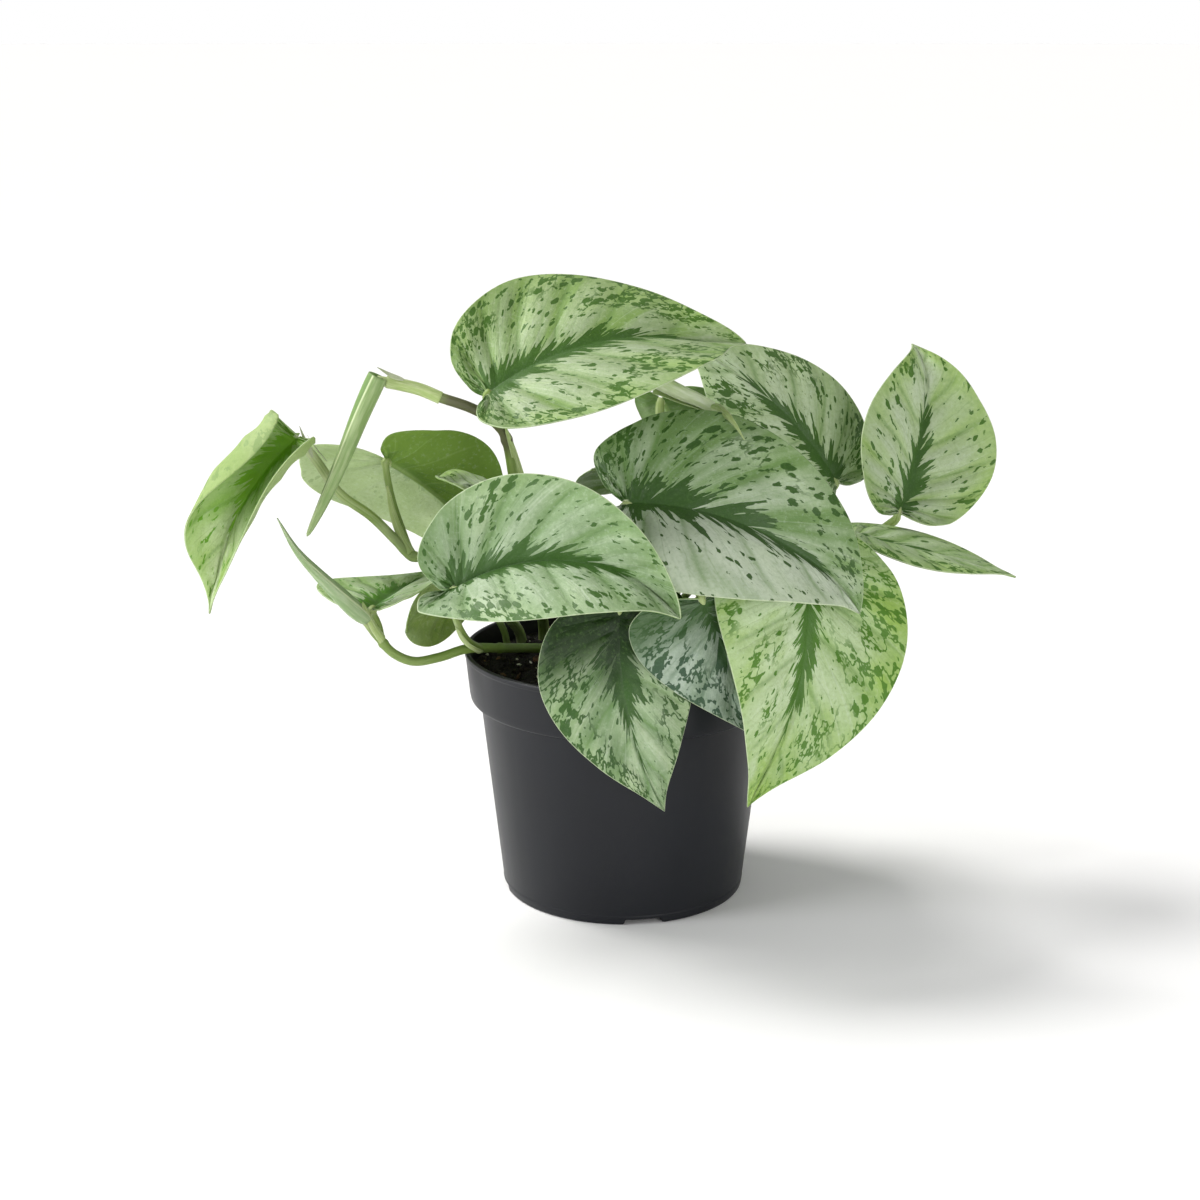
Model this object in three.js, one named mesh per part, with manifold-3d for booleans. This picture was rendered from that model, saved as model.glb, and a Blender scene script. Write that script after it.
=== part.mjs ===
// Satin pothos (Scindapsus) in its nursery pot: a black plastic pot, peat, three
// trailing stems, sixteen open leaves on their stalks and three leaves still rolled.
// Millimetres, +Z up, origin on the pot's axis at the floor, viewed from -Y.

import * as THREE from 'three';
import { mergeVertices } from 'three/addons/utils/BufferGeometryUtils.js';
import Module from 'manifold-3d';

const wasm = await Module();
wasm.setup();

// ---------------------------------------------------------------- driving sizes
const GAP = 0.3; // left between pieces that touch

const POT_HEIGHT = 94;
const RIM_RADIUS = 60; // outside of the rim: a 12 cm pot
const COLLAR_HEIGHT = 19;
const COLLAR_FOOT_RADIUS = 58;
const BODY_TOP_RADIUS = 54.3; // just below the collar
const BASE_RADIUS = 46;
const WALL = 1.3;
const FLOOR_LEVEL = 4.6; // inside of the pot's floor
const FOOT_LIFT = 3; // height of the raised ring under the floor
const FOOT_RING_WIDTH = 5;
const CENTRE_PAD_RADIUS = 12;
const NOTCH = { width: 14, height: 2.2, count: 4, firstAngle: -81 };
const DRAIN = { radius: 2.5, circle: 28, count: 8 };
const POT_SIDES = 48;

const SOIL_LEVEL = 86;
const ROOT_DEPTH = 6; // how far the stems reach into the peat

const LEAF_THICKNESS = 1.0;
const LEAF_SECTIONS = 12; // rings from base to tip
const LEAF_AROUND = 12; // points round each ring
const STALK_RADIUS = 1.3;
const STALK_SIDES = 6;
const VINE_SIDES = 8;

// --------------------------------------------------------------------- colours
const matte = (color, roughness) => new THREE.MeshStandardMaterial({ color, roughness, metalness: 0 });
const potPlastic = matte(0x2b2e33, 0.5);
const peat = matte(0x1d1612, 0.95);
const silverLeaf = matte(0x9dbb8e, 0.45);
const youngLeaf = matte(0xa9c585, 0.45);
const leafBack = matte(0x7d9a5a, 0.55);
const greenStem = matte(0x86a056, 0.5);
const paleSheath = matte(0xb9c79a, 0.6);

// ------------------------------------------------------------- solids and meshes
const closedGeometry = (geometry) => {
  const bare = geometry.index ? geometry.clone() : geometry;
  bare.deleteAttribute('normal');
  bare.deleteAttribute('uv');
  const merged = mergeVertices(bare, 1e-4);
  const source = merged.index.array;
  const kept = [];
  for (let i = 0; i < source.length; i += 3) {
    const [a, b, c] = [source[i], source[i + 1], source[i + 2]];
    if (a !== b && b !== c && c !== a) kept.push(a, b, c);
  }
  merged.setIndex(kept);
  return merged;
};

const signedVolume = (geometry) => {
  const p = geometry.attributes.position;
  const index = geometry.index.array;
  const [a, b, c] = [new THREE.Vector3(), new THREE.Vector3(), new THREE.Vector3()];
  let sum = 0;
  for (let i = 0; i < index.length; i += 3) {
    a.fromBufferAttribute(p, index[i]);
    b.fromBufferAttribute(p, index[i + 1]);
    c.fromBufferAttribute(p, index[i + 2]);
    sum += a.dot(b.cross(c)) / 6;
  }
  return sum;
};

// A closed three.js geometry as a manifold solid, with its faces turned outwards.
const solid = (geometry) => {
  const closed = closedGeometry(geometry);
  const index = Uint32Array.from(closed.index.array);
  if (signedVolume(closed) < 0) {
    for (let i = 0; i < index.length; i += 3) [index[i], index[i + 1]] = [index[i + 1], index[i]];
  }
  const vertProperties = Float32Array.from(closed.attributes.position.array);
  return new wasm.Manifold(new wasm.Mesh({ numProp: 3, vertProperties, triVerts: index }));
};

const group = new THREE.Group();
const addPiece = (name, body, material) => {
  const mesh = body.getMesh();
  const geometry = new THREE.BufferGeometry();
  geometry.setAttribute('position', new THREE.BufferAttribute(Float32Array.from(mesh.vertProperties), 3));
  geometry.setIndex(new THREE.BufferAttribute(Uint32Array.from(mesh.triVerts), 1));
  geometry.computeVertexNormals();
  const piece = new THREE.Mesh(geometry, material);
  piece.name = name;
  group.add(piece);
};

// Cuts leave crumbs at grazing crossings: the largest solid is the piece.
const largest = (body) => body.decompose().reduce((a, b) => (b.volume() > a.volume() ? b : a));

const smoothPath = (route) => new THREE.CatmullRomCurve3(route.map((p) => new THREE.Vector3(...p)), false, 'centripetal');

const polygon = (radius, sides) => {
  const corners = [];
  for (let i = 0; i < sides; i += 1) {
    const angle = (2 * Math.PI * i) / sides;
    corners.push(new THREE.Vector2(radius * Math.cos(angle), radius * Math.sin(angle)));
  }
  return new THREE.Shape(corners);
};

// A round stem of one thickness along its route.
const tube = ({ route, radius, steps, sides = STALK_SIDES }, extra = 0) => solid(
  new THREE.ExtrudeGeometry(polygon(radius + extra, sides), {
    steps, bevelEnabled: false, extrudePath: smoothPath(route),
  }),
);

// A sphere drawn out along a route: pointed at both ends, with its half width
// given by a function of the distance along it, and flattened where flat < 1.
const spindle = ({ route, halfWidth, flat = 1, flatAxis = [0, 1, 0], rings = 12, sides = 8 }) => {
  const path = smoothPath(route);
  const geometry = new THREE.SphereGeometry(1, sides, rings);
  const p = geometry.attributes.position;
  const across = new THREE.Vector3(...flatAxis).normalize();
  for (let i = 0; i < p.count; i += 1) {
    const along = Math.acos(THREE.MathUtils.clamp(p.getY(i), -1, 1)) / Math.PI;
    const ring = Math.hypot(p.getX(i), p.getZ(i)) || 1;
    const centre = path.getPointAt(along);
    const forward = path.getTangentAt(along);
    const side = new THREE.Vector3().crossVectors(forward, across).normalize();
    const depth = new THREE.Vector3().crossVectors(side, forward);
    const width = halfWidth(along) * Math.min(1, Math.hypot(p.getX(i), p.getZ(i)) * 4);
    centre.addScaledVector(side, (width * p.getX(i)) / ring);
    centre.addScaledVector(depth, (flat * width * p.getZ(i)) / ring);
    p.setXYZ(i, centre.x, centre.y, centre.z);
  }
  return solid(geometry);
};

// -------------------------------------------------------------- the leaf's shape
// Half outline of a heart-shaped blade from the stalk round to the tip, as shares of
// the length and of the half width, and where the vein to each of those points
// leaves the midrib.
const MARGIN = [[0, 0], [-0.055, 0.2], [-0.07, 0.5], [0.05, 0.84], [0.27, 1], [0.5, 0.89], [0.72, 0.57], [0.89, 0.2], [1, 0]];
const VEIN_ROOT = [0, 0.002, 0.012, 0.035, 0.11, 0.27, 0.49, 0.76, 1];
const MIDRIB_STEPS = 48;
const HOOK_START = 0.7; // the tip's extra bend begins here
const VEIN_SWEEP = 1.35; // veins leave the midrib forwards, then turn outwards
const SECOND_HALF_PHASE = 1.3; // the right margin's waves lag the left one's

const catmull = (values, t) => {
  const spans = values.length - 1;
  const x = THREE.MathUtils.clamp(t, 0, 1) * spans;
  const i = Math.min(Math.floor(x), spans - 1);
  const f = x - i;
  const b = values[i];
  const c = values[i + 1];
  const a = i > 0 ? values[i - 1] : 2 * b - c;
  const d = i + 2 <= spans ? values[i + 2] : 2 * c - b;
  return 0.5 * (2 * b + (c - a) * f + (2 * a - 5 * b + 4 * c - d) * f * f + (3 * b - a - 3 * c + d) * f ** 3);
};
const MARGIN_ALONG = MARGIN.map((point) => point[0]);
const MARGIN_OUT = MARGIN.map((point) => point[1]);

const radians = THREE.MathUtils.degToRad;

// The midrib in its own plane, for a unit length: it bends by droop evenly and by hook
// near the tip. Turned so that its chord lies level.
const midribCurve = (droop, hook) => {
  const angles = [];
  for (let i = 0; i <= MIDRIB_STEPS; i += 1) {
    const along = i / MIDRIB_STEPS;
    const h = THREE.MathUtils.clamp((along - HOOK_START) / (1 - HOOK_START), 0, 1);
    angles.push(-(droop * along + hook * h * h * (3 - 2 * h)));
  }
  const xs = [0];
  const zs = [0];
  for (let i = 0; i < MIDRIB_STEPS; i += 1) {
    const angle = (angles[i] + angles[i + 1]) / 2;
    xs.push(xs[i] + Math.cos(angle) / MIDRIB_STEPS);
    zs.push(zs[i] + Math.sin(angle) / MIDRIB_STEPS);
  }
  const chord = Math.hypot(xs[MIDRIB_STEPS], zs[MIDRIB_STEPS]);
  const tilt = Math.atan2(zs[MIDRIB_STEPS], xs[MIDRIB_STEPS]);
  const [c, s] = [Math.cos(-tilt), Math.sin(-tilt)];
  const lookUp = (values, t) => {
    const x = THREE.MathUtils.clamp(t, 0, 1) * MIDRIB_STEPS;
    const i = Math.min(Math.floor(x), MIDRIB_STEPS - 1);
    return values[i] + (values[i + 1] - values[i]) * (x - i);
  };
  const level = xs.map((x, i) => [x * c - zs[i] * s, x * s + zs[i] * c, angles[i] - tilt]);
  return {
    chord,
    at: (t) => [0, 1, 2].map((k) => lookUp(level.map((row) => row[k]), t)),
    startAngle: -tilt,
  };
};

// A point of the blade: along from 0 at the stalk to 1 at the tip, side from -1 at the
// right margin to 1 at the left one, seen on the upper face with the tip up.
// fold lifts a half into a V, curl bends its edge down, twist turns the tip, sway
// bows the midrib sideways, wave ripples the margin.
const bladeSurface = (leaf) => {
  const base = new THREE.Vector3(...leaf.base);
  const tip = new THREE.Vector3(...leaf.tip);
  const forward = tip.clone().sub(base);
  const chordLength = forward.length();
  forward.normalize();
  const up = new THREE.Vector3(...leaf.face);
  up.addScaledVector(forward, -up.dot(forward)).normalize();
  const left = new THREE.Vector3().crossVectors(up, forward);
  const midrib = midribCurve(radians(leaf.droop), radians(leaf.hook));
  const length = chordLength / midrib.chord;
  return (along, side) => {
    const k = side >= 0 ? 0 : 1;
    const sign = Math.sign(side);
    const out = Math.abs(side);
    const root = catmull(VEIN_ROOT, along);
    const reach = catmull(MARGIN_ALONG, along);
    const edge = reach < 0 ? reach * leaf.lobes[k] : reach;
    const x = root + (edge - root) * out ** VEIN_SWEEP;
    const belly = 1 + leaf.full * 2 * (THREE.MathUtils.clamp(edge, 0, 1) - 0.35);
    const y = catmull(MARGIN_OUT, along) * out * belly;
    const bow = x < 0 ? 4 * leaf.sway * x : 4 * leaf.sway * x * (1 - x);
    const [px, pz, angle] = x < 0
      ? [x * Math.cos(midrib.startAngle), x * Math.sin(midrib.startAngle), midrib.startAngle]
      : midrib.at(x);
    const fold = radians(leaf.fold[k]);
    const curl = radians(leaf.curl[k]) || 1e-3;
    const bend = leaf.widths[k] / curl;
    const across = bend * (Math.sin(fold) - Math.sin(fold - curl * y));
    const ripple = leaf.wave * out * out * Math.sqrt(Math.sin(Math.PI * THREE.MathUtils.clamp(along, 0, 1)))
      * Math.sin(3 * Math.PI * along + leaf.phase + (sign < 0 ? SECOND_HALF_PHASE : 0));
    const lift = bend * (Math.cos(fold - curl * y) - Math.cos(fold)) + ripple;
    const turn = radians(leaf.twist) * THREE.MathUtils.clamp(x, 0, 1);
    const sideways = sign * across * Math.cos(turn) - lift * Math.sin(turn) + bow;
    const height = sign * across * Math.sin(turn) + lift * Math.cos(turn);
    return base.clone()
      .addScaledVector(forward, px * length - Math.sin(angle) * height)
      .addScaledVector(left, sideways)
      .addScaledVector(up, pz * length + Math.cos(angle) * height);
  };
};

// Faces of a lens: its four-sided cells are split along the same diagonal above and
// below, so that the two skins stay apart where the leaf is warped.
const lensFaces = (around, sections) => {
  const index = [];
  for (let i = 0; i < sections; i += 1) {
    for (let j = 0; j < around; j += 1) {
      const b = i * (around + 1) + j;
      const c = b + around + 1;
      if (j < around / 2) index.push(b + 1, b, c + 1, b, c, c + 1);
      else index.push(b + 1, b, c, b + 1, c, c + 1);
    }
  }
  return index;
};

// The blade as a closed lens: a sphere pressed flat onto the leaf's surface, with its
// poles at the stalk and the tip. extra makes it larger all round, to cut with.
const blade = (leaf, extra = 0) => {
  const surface = bladeSurface(leaf);
  const middle = surface(0.5, 0);
  const geometry = new THREE.SphereGeometry(1, LEAF_AROUND, LEAF_SECTIONS);
  geometry.setIndex(lensFaces(LEAF_AROUND, LEAF_SECTIONS));
  const p = geometry.attributes.position;
  const step = 0.01; // between the points that give the surface's slope
  for (let i = 0; i < p.count; i += 1) {
    const polar = Math.acos(THREE.MathUtils.clamp(p.getY(i), -1, 1));
    const ring = Math.sin(polar);
    const along = polar / Math.PI;
    const side = ring > 1e-4 ? THREE.MathUtils.clamp(p.getX(i) / ring, -1, 1) : 0;
    const point = surface(along, side);
    if (ring > 1e-4) {
      const alongA = surface(Math.max(along - step, 0), side);
      const alongB = surface(Math.min(along + step, 1), side);
      const sideA = surface(along, Math.max(side - step, -1));
      const sideB = surface(along, Math.min(side + step, 1));
      const normal = alongB.sub(alongA).cross(sideB.sub(sideA)).normalize();
      const half = ((LEAF_THICKNESS / 2) * p.getZ(i)) / Math.max(ring, 0.35);
      point.addScaledVector(normal, half + extra * Math.sign(Math.round(100 * p.getZ(i))));
    }
    point.addScaledVector(point.clone().sub(middle).normalize(), extra);
    p.setXYZ(i, point.x, point.y, point.z);
  }
  return solid(geometry);
};

// ---------------------------------------------------------------------- the pot
const innerRadius = (z) => BASE_RADIUS + ((BODY_TOP_RADIUS - BASE_RADIUS) * z) / (POT_HEIGHT - COLLAR_HEIGHT) - WALL;
const COLLAR_FOOT = POT_HEIGHT - COLLAR_HEIGHT;
const STEP_LEVEL = COLLAR_FOOT + 1.5; // inside, the wall steps out here

const makePot = () => {
  const profile = [
    [0, 0], [CENTRE_PAD_RADIUS, 0], [CENTRE_PAD_RADIUS + 1, FOOT_LIFT],
    [BASE_RADIUS - FOOT_RING_WIDTH - 1, FOOT_LIFT], [BASE_RADIUS - FOOT_RING_WIDTH, 0],
    [BASE_RADIUS - 0.6, 0], [BASE_RADIUS, 0.8],
    [BODY_TOP_RADIUS, COLLAR_FOOT], [COLLAR_FOOT_RADIUS - 0.9, COLLAR_FOOT], [COLLAR_FOOT_RADIUS, COLLAR_FOOT + 1],
    [RIM_RADIUS, POT_HEIGHT - 0.5], [RIM_RADIUS - 0.4, POT_HEIGHT],
    [RIM_RADIUS - WALL - 0.3, POT_HEIGHT], [COLLAR_FOOT_RADIUS - WALL, STEP_LEVEL],
    [innerRadius(COLLAR_FOOT), STEP_LEVEL], [innerRadius(FLOOR_LEVEL), FLOOR_LEVEL], [0, FLOOR_LEVEL],
  ];
  const lathe = new THREE.LatheGeometry(profile.map(([r, z]) => new THREE.Vector2(r, z)), POT_SIDES);
  lathe.rotateX(Math.PI / 2);
  let body = solid(lathe);
  for (let i = 0; i < NOTCH.count; i += 1) {
    const cut = new THREE.BoxGeometry(2 * FOOT_RING_WIDTH + 6, NOTCH.width, 2 * NOTCH.height);
    cut.translate(BASE_RADIUS - 1, 0, 0);
    cut.rotateZ(radians(NOTCH.firstAngle + (360 * i) / NOTCH.count));
    body = body.subtract(solid(cut));
  }
  for (let i = 0; i < DRAIN.count; i += 1) {
    const hole = new THREE.CylinderGeometry(DRAIN.radius, DRAIN.radius, 4 * FLOOR_LEVEL, 10);
    hole.rotateX(Math.PI / 2);
    hole.translate(DRAIN.circle, 0, 0);
    hole.rotateZ((2 * Math.PI * (i + 0.5)) / DRAIN.count);
    body = body.subtract(solid(hole));
  }
  return body;
};

const makeSoil = () => {
  const profile = [
    [0, FLOOR_LEVEL + GAP], [innerRadius(FLOOR_LEVEL) - GAP, FLOOR_LEVEL + GAP],
    [innerRadius(COLLAR_FOOT) - GAP, STEP_LEVEL + GAP],
    [COLLAR_FOOT_RADIUS - WALL - GAP, STEP_LEVEL + GAP], [COLLAR_FOOT_RADIUS - WALL + 0.5, SOIL_LEVEL - 0.5],
    [40, SOIL_LEVEL + 0.6], [0, SOIL_LEVEL + 1.2],
  ];
  const lathe = new THREE.LatheGeometry(profile.map(([r, z]) => new THREE.Vector2(r, z)), POT_SIDES);
  return solid(lathe.rotateX(Math.PI / 2));
};

// -------------------------------------------------------------------- the stems
// Each route starts in the peat, or on the centre line of the stem that carries it.
const ROOT = SOIL_LEVEL - ROOT_DEPTH;
const vines = {
  crown_vine: {
    radius: 2.1,
    steps: 26,
    sides: VINE_SIDES,
    route: [[-31, 34, ROOT], [-31, 31, 92], [-32, 14, 106], [-35, -3, 126], [-38, -13, 148], [-40, -19, 163],
      [-43, -25, 180], [-48, -27, 186], [-55, -28, 190], [-66, -29, 194], [-73, -29, 197], [-82, -30, 199],
      [-87, -31, 200]],
  },
  left_vine: {
    radius: 2.0,
    steps: 24,
    sides: VINE_SIDES,
    route: [[-39, 30, ROOT], [-40, 28, 90], [-44, 17, 100], [-51, 0, 114], [-57, -11, 127], [-67, -15, 132],
      [-78, -14, 132.5], [-83, -15, 138], [-92, -17, 148], [-103, -19, 157], [-110, -20, 168], [-116.4, -20, 176.7]],
  },
  low_vine: {
    radius: 1.9,
    steps: 26,
    sides: VINE_SIDES,
    route: [[-18, 16, ROOT], [-21, 13, 88], [-30, 6, 91], [-44, -7, 95], [-58, -16, 97.5], [-68, -22, 96],
      [-77, -27, 96], [-84, -30, 100], [-89, -33, 107], [-92, -37, 113], [-93.5, -39, 116]],
  },
};

// -------------------------------------------------------------------- the leaves
// stalk: its route from root or carrier to the blade; carrier: the stem it grows on.
const leaves = [
  {
    name: 'crown_leaf', material: silverLeaf, base: [-49, -31, 195], tip: [45, 8, 207], face: [-0.27, -0.66, 0.72],
    widths: [44, 44], droop: 50, hook: -23, fold: [8, 19], curl: [13, -5], twist: 1,
    wave: 6, phase: -1.3, sway: 7, full: 0.21, lobes: [0.73, 0.81],
    carrier: 'crown_vine', stalk: [[-43, -25, 180], [-45, -27, 185], [-48, -30, 191]],
  },
  {
    name: 'back_right_leaf', material: silverLeaf, base: [84, 45, 147], tip: [24, 49, 201], face: [0.15, -0.75, 0.65],
    widths: [33, 32], droop: 29, hook: 4, fold: [2, 8], curl: [23, 27], twist: 6,
    wave: 2, phase: 3.2, sway: -4, full: 0, lobes: [1, 1.3],
    stalk: [[20, 34, ROOT], [21, 34, 92], [40, 42, 110], [66, 50, 130], [81, 49, 143]],
  },
  {
    name: 'upright_leaf', material: silverLeaf, base: [107, 33, 138], tip: [115, 71, 198], face: [0.46, -0.72, 0.24],
    widths: [30, 32], droop: -1, hook: 43, fold: [21, 19], curl: [21, -6], twist: -14,
    wave: 1, phase: -0.6, sway: -5, full: 0.13, lobes: [0.8, 0.5],
    stalk: [[36, 22, ROOT], [37, 23, 92], [56, 36, 106], [82, 40, 118], [100, 37, 130], [106, 34, 135]],
  },
  {
    name: 'centre_leaf', material: silverLeaf, base: [0, -40, 158], tip: [83, -45, 119], face: [-0.02, -0.51, 0.85],
    widths: [40, 40], droop: 68, hook: 7, fold: [32, 8], curl: [18, 6], twist: 5,
    wave: 3, phase: -0.8, sway: 1, full: 0, lobes: [1.8, 0.8],
    stalk: [[-4, -14, ROOT], [-4, -15, 92], [-3, -22, 115], [-2, -32, 138], [-1, -38, 154]],
  },
  {
    name: 'front_left_leaf', material: silverLeaf, base: [-60, -57, 131], tip: [18, -87, 129], face: [-0.01, -0.6, 0.84],
    widths: [33, 32], droop: 50, hook: 16, fold: [43, 29], curl: [-7, 11], twist: 27,
    wave: 6, phase: -1.36, sway: 10, full: 0.23, lobes: [1.34, 0.28],
    carrier: 'low_vine', stalk: [[-53, -13, 96.5], [-57, -22, 102], [-60, -40, 115], [-60.5, -53, 127]],
  },
  {
    name: 'hanging_leaf', material: silverLeaf, base: [-2, -55, 124], tip: [14, -65, 52], face: [-0.02, -1, 0.2],
    widths: [27, 29], droop: 15, hook: 8, fold: [3, 8], curl: [24, 18], twist: -5,
    wave: 0, phase: 0, sway: -5, full: -0.14, lobes: [1, 0.9],
    stalk: [[-14, -26, ROOT], [-14, -28, 92], [-12, -37, 110], [-7, -47, 121], [-3, -53, 126]],
  },
  {
    name: 'silver_leaf', material: silverLeaf, base: [26, -65, 130], tip: [48, -58, 74], face: [0.16, -0.96, -0.08],
    widths: [25, 27], droop: -8, hook: -5, fold: [-14, -1], curl: [25, 14], twist: 2,
    wave: 2, phase: 0.2, sway: 1, full: -0.37, lobes: [0, 1],
    stalk: [[6, -26, ROOT], [7, -28, 92], [14, -37, 112], [21, -50, 127], [25, -61, 133]],
  },
  {
    name: 'front_right_leaf', material: youngLeaf, base: [63, -41, 138], tip: [43, -66, 54], face: [0.6, -0.62, 0.1],
    widths: [39, 38], droop: 48, hook: -11, fold: [24, 4], curl: [-7, 40], twist: -1,
    wave: 2, phase: 0.6, sway: 3, full: -0.22, lobes: [1.5, 0.2],
    stalk: [[26, -12, ROOT], [28, -13, 92], [42, -20, 112], [55, -31, 131], [61, -38, 138]],
  },
  {
    name: 'side_leaf', material: silverLeaf, base: [85, 7, 136], tip: [146, -5, 122], face: [0.08, 0.03, 0.93],
    widths: [25, 25], droop: 4, hook: -1, fold: [9, 11], curl: [17, 25], twist: 5,
    wave: 1, phase: 2.8, sway: 0, full: 0.05, lobes: [1, 1],
    stalk: [[34, 6, ROOT], [36, 6, 92], [50, 8, 112], [68, 9, 127], [80, 8, 134]],
  },
  {
    name: 'far_left_leaf', material: youngLeaf, base: [-117, -20, 178], tip: [-150, -31, 115], face: [-0.3, -0.83, 0.32],
    widths: [26, 32], droop: 33, hook: -21, fold: [23, 31], curl: [-58, -134], twist: 6,
    wave: 2, phase: -0.2, sway: -6, full: -0.37, lobes: [0.1, 0.25],
  },
  {
    name: 'back_left_leaf', material: leafBack, base: [-87, -8, 167], tip: [-53, 50, 113], face: [0.17, 0.52, 0.71],
    widths: [42, 25], droop: 11, hook: -28, fold: [13, 25], curl: [35, -12], twist: -8,
    wave: 3, phase: 2.1, sway: -8, full: -0.24, lobes: [1.95, 1.72],
    carrier: 'left_vine', stalk: [[-78, -13, 132], [-81, -11, 140], [-85, -9, 152], [-87, -8.5, 163]],
  },
  {
    name: 'sliver_leaf', material: silverLeaf, base: [-45, -21, 158], tip: [-67, -36, 167], face: [-0.07, -0.38, 0.9],
    widths: [15, 14], droop: 2, hook: -6, fold: [6, 5], curl: [10, 16], twist: 3,
    wave: 1, phase: 0.4, sway: 2, full: 0, lobes: [1, 1],
    carrier: 'crown_vine', stalk: [[-35, -3, 126], [-37, -10, 134], [-40, -16, 146], [-43, -19, 154]],
  },
  {
    name: 'low_left_leaf', material: silverLeaf, base: [-91, -35, 118], tip: [-66, 21, 120], face: [-0.29, -0.41, 0.89],
    widths: [27, 25], droop: 2, hook: -5, fold: [19, 13], curl: [9, -3], twist: -14,
    wave: 1, phase: 3.4, sway: 3, full: -0.09, lobes: [1, 1.17],
    carrier: 'low_vine', stalk: [[-88, -32, 105], [-89, -30, 110], [-90.5, -32, 115]],
  },
  {
    name: 'small_leaf', material: leafBack, base: [-60, 22, 108], tip: [-81, -11, 102], face: [-0.32, 1.02, 0.31],
    widths: [15, 17], droop: 25, hook: 25, fold: [3, 3], curl: [17, 21], twist: 1,
    wave: 0, phase: 0, sway: 1, full: 0.28, lobes: [1, 1],
    stalk: [[-45, 24, ROOT], [-46, 24, 92], [-52, 25, 102], [-58, 23.5, 107]],
  },
  {
    name: 'hidden_leaf', material: leafBack, base: [8, 37, 150], tip: [-12, -2, 162], face: [-0.2, 0.5, 0.8],
    widths: [21, 21], droop: 22, hook: 1, fold: [5, 5], curl: [15, 15], twist: 0,
    wave: 0, phase: 0, sway: 0, full: 0, lobes: [1, 1],
    stalk: [[0, 36, ROOT], [0, 36, 92], [4, 40, 120], [8, 39, 146]],
  },
  {
    name: 'back_top_leaf', material: leafBack, base: [15, 54, 179], tip: [27, 78, 134], face: [0.15, 0.84, 0.41],
    widths: [13, 26], droop: 17, hook: 9, fold: [10, 5], curl: [10, 10], twist: 1,
    wave: 1, phase: 3, sway: -3, full: -0.16, lobes: [1.6, 1.2],
    stalk: [[8, 42, ROOT], [8, 42, 92], [12, 46, 125], [15, 49, 155], [14.5, 51, 176]],
  },
];

// ------------------------------------------------------- rolled leaves and sheaths
const rolledLeaves = {
  rolled_leaf_crown: {
    carrier: 'crown_vine',
    route: [[-87, -31.5, 202], [-93, -32, 189], [-101, -33, 170], [-108, -35, 155], [-113, -36, 145]],
    halfWidth: (t) => 4.5 * (1 - t) ** 0.45,
  },
  rolled_leaf_low: {
    carrier: 'low_vine',
    route: [[-92.5, -38, 115], [-101, -44, 126], [-108, -46, 134], [-115, -48, 143], [-121, -50, 155]],
    halfWidth: (t) => 3.4 * (1 - t) ** 0.8,
  },
  rolled_leaf_back: {
    route: [[38, -10, 183], [27, -10, 189], [20, -10, 192], [12, -10, 196]],
    halfWidth: (t) => 1.4 + 2.4 * t,
  },
};
const ROLLED_BACK_STALK = [[14, 4, ROOT], [14, 4, 92], [22, 2, 120], [34, -3, 155], [38.5, -8.5, 178], [37, -10, 184]];

// ---------------------------------------------------------------- putting it together
// A stalk's route runs on to just short of the blade's base.
const SEAT = 0.8;
const stalkRoute = (route, end) => {
  const foot = beyond(route.at(-1), end, -SEAT);
  const last = new THREE.Vector3(...route.at(-1)).lerp(new THREE.Vector3(...foot), 0.3);
  return [...route.slice(0, -1), last.toArray(), foot];
};

const beyond = (inner, end, reach) => {
  const point = new THREE.Vector3(...end);
  return point.addScaledVector(point.clone().sub(new THREE.Vector3(...inner)).normalize(), reach).toArray();
};
const wider = ({ route, halfWidth, ...rest }) => ({
  ...rest,
  halfWidth: (t) => halfWidth(t) + GAP,
  route: [beyond(route[1], route[0], GAP), ...route.slice(1, -1), beyond(route.at(-2), route.at(-1), GAP)],
});

const rooted = [...Object.values(vines)];
for (const leaf of leaves) {
  addPiece(leaf.name, blade(leaf), leaf.material);
  if (!leaf.stalk) continue;
  const stalk = { route: stalkRoute(leaf.stalk, leaf.base), radius: STALK_RADIUS, steps: 3 * leaf.stalk.length };
  let body = largest(tube(stalk).subtract(blade(leaf, GAP)));
  if (leaf.carrier) body = largest(body.subtract(tube(vines[leaf.carrier], GAP)));
  else rooted.push(stalk);
  addPiece(`${leaf.name}_stalk`, body, greenStem);
}
const backRoll = { route: ROLLED_BACK_STALK, radius: STALK_RADIUS, steps: 16 };
rooted.push(backRoll);
addPiece('rolled_leaf_back_stalk', tube(backRoll).subtract(spindle(wider(rolledLeaves.rolled_leaf_back))), greenStem);

for (const [name, roll] of Object.entries(rolledLeaves)) addPiece(name, spindle(roll), paleSheath);
for (const [name, vine] of Object.entries(vines)) {
  let body = tube(vine);
  for (const roll of Object.values(rolledLeaves)) {
    if (roll.carrier !== name) continue;
    body = largest(body.subtract(spindle(wider(roll))));
  }
  addPiece(name, body, greenStem);
}

// The peat, with a socket round each stem's root.
addPiece('pot', makePot(), potPlastic);
let soil = makeSoil();
for (const stem of rooted) {
  const [[x, y, z], ...rest] = stem.route;
  soil = soil.subtract(tube({ ...stem, route: [[x, y, z - GAP], ...rest] }, GAP));
}
addPiece('soil', largest(soil), peat);

export default group;
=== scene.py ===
import math

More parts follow.
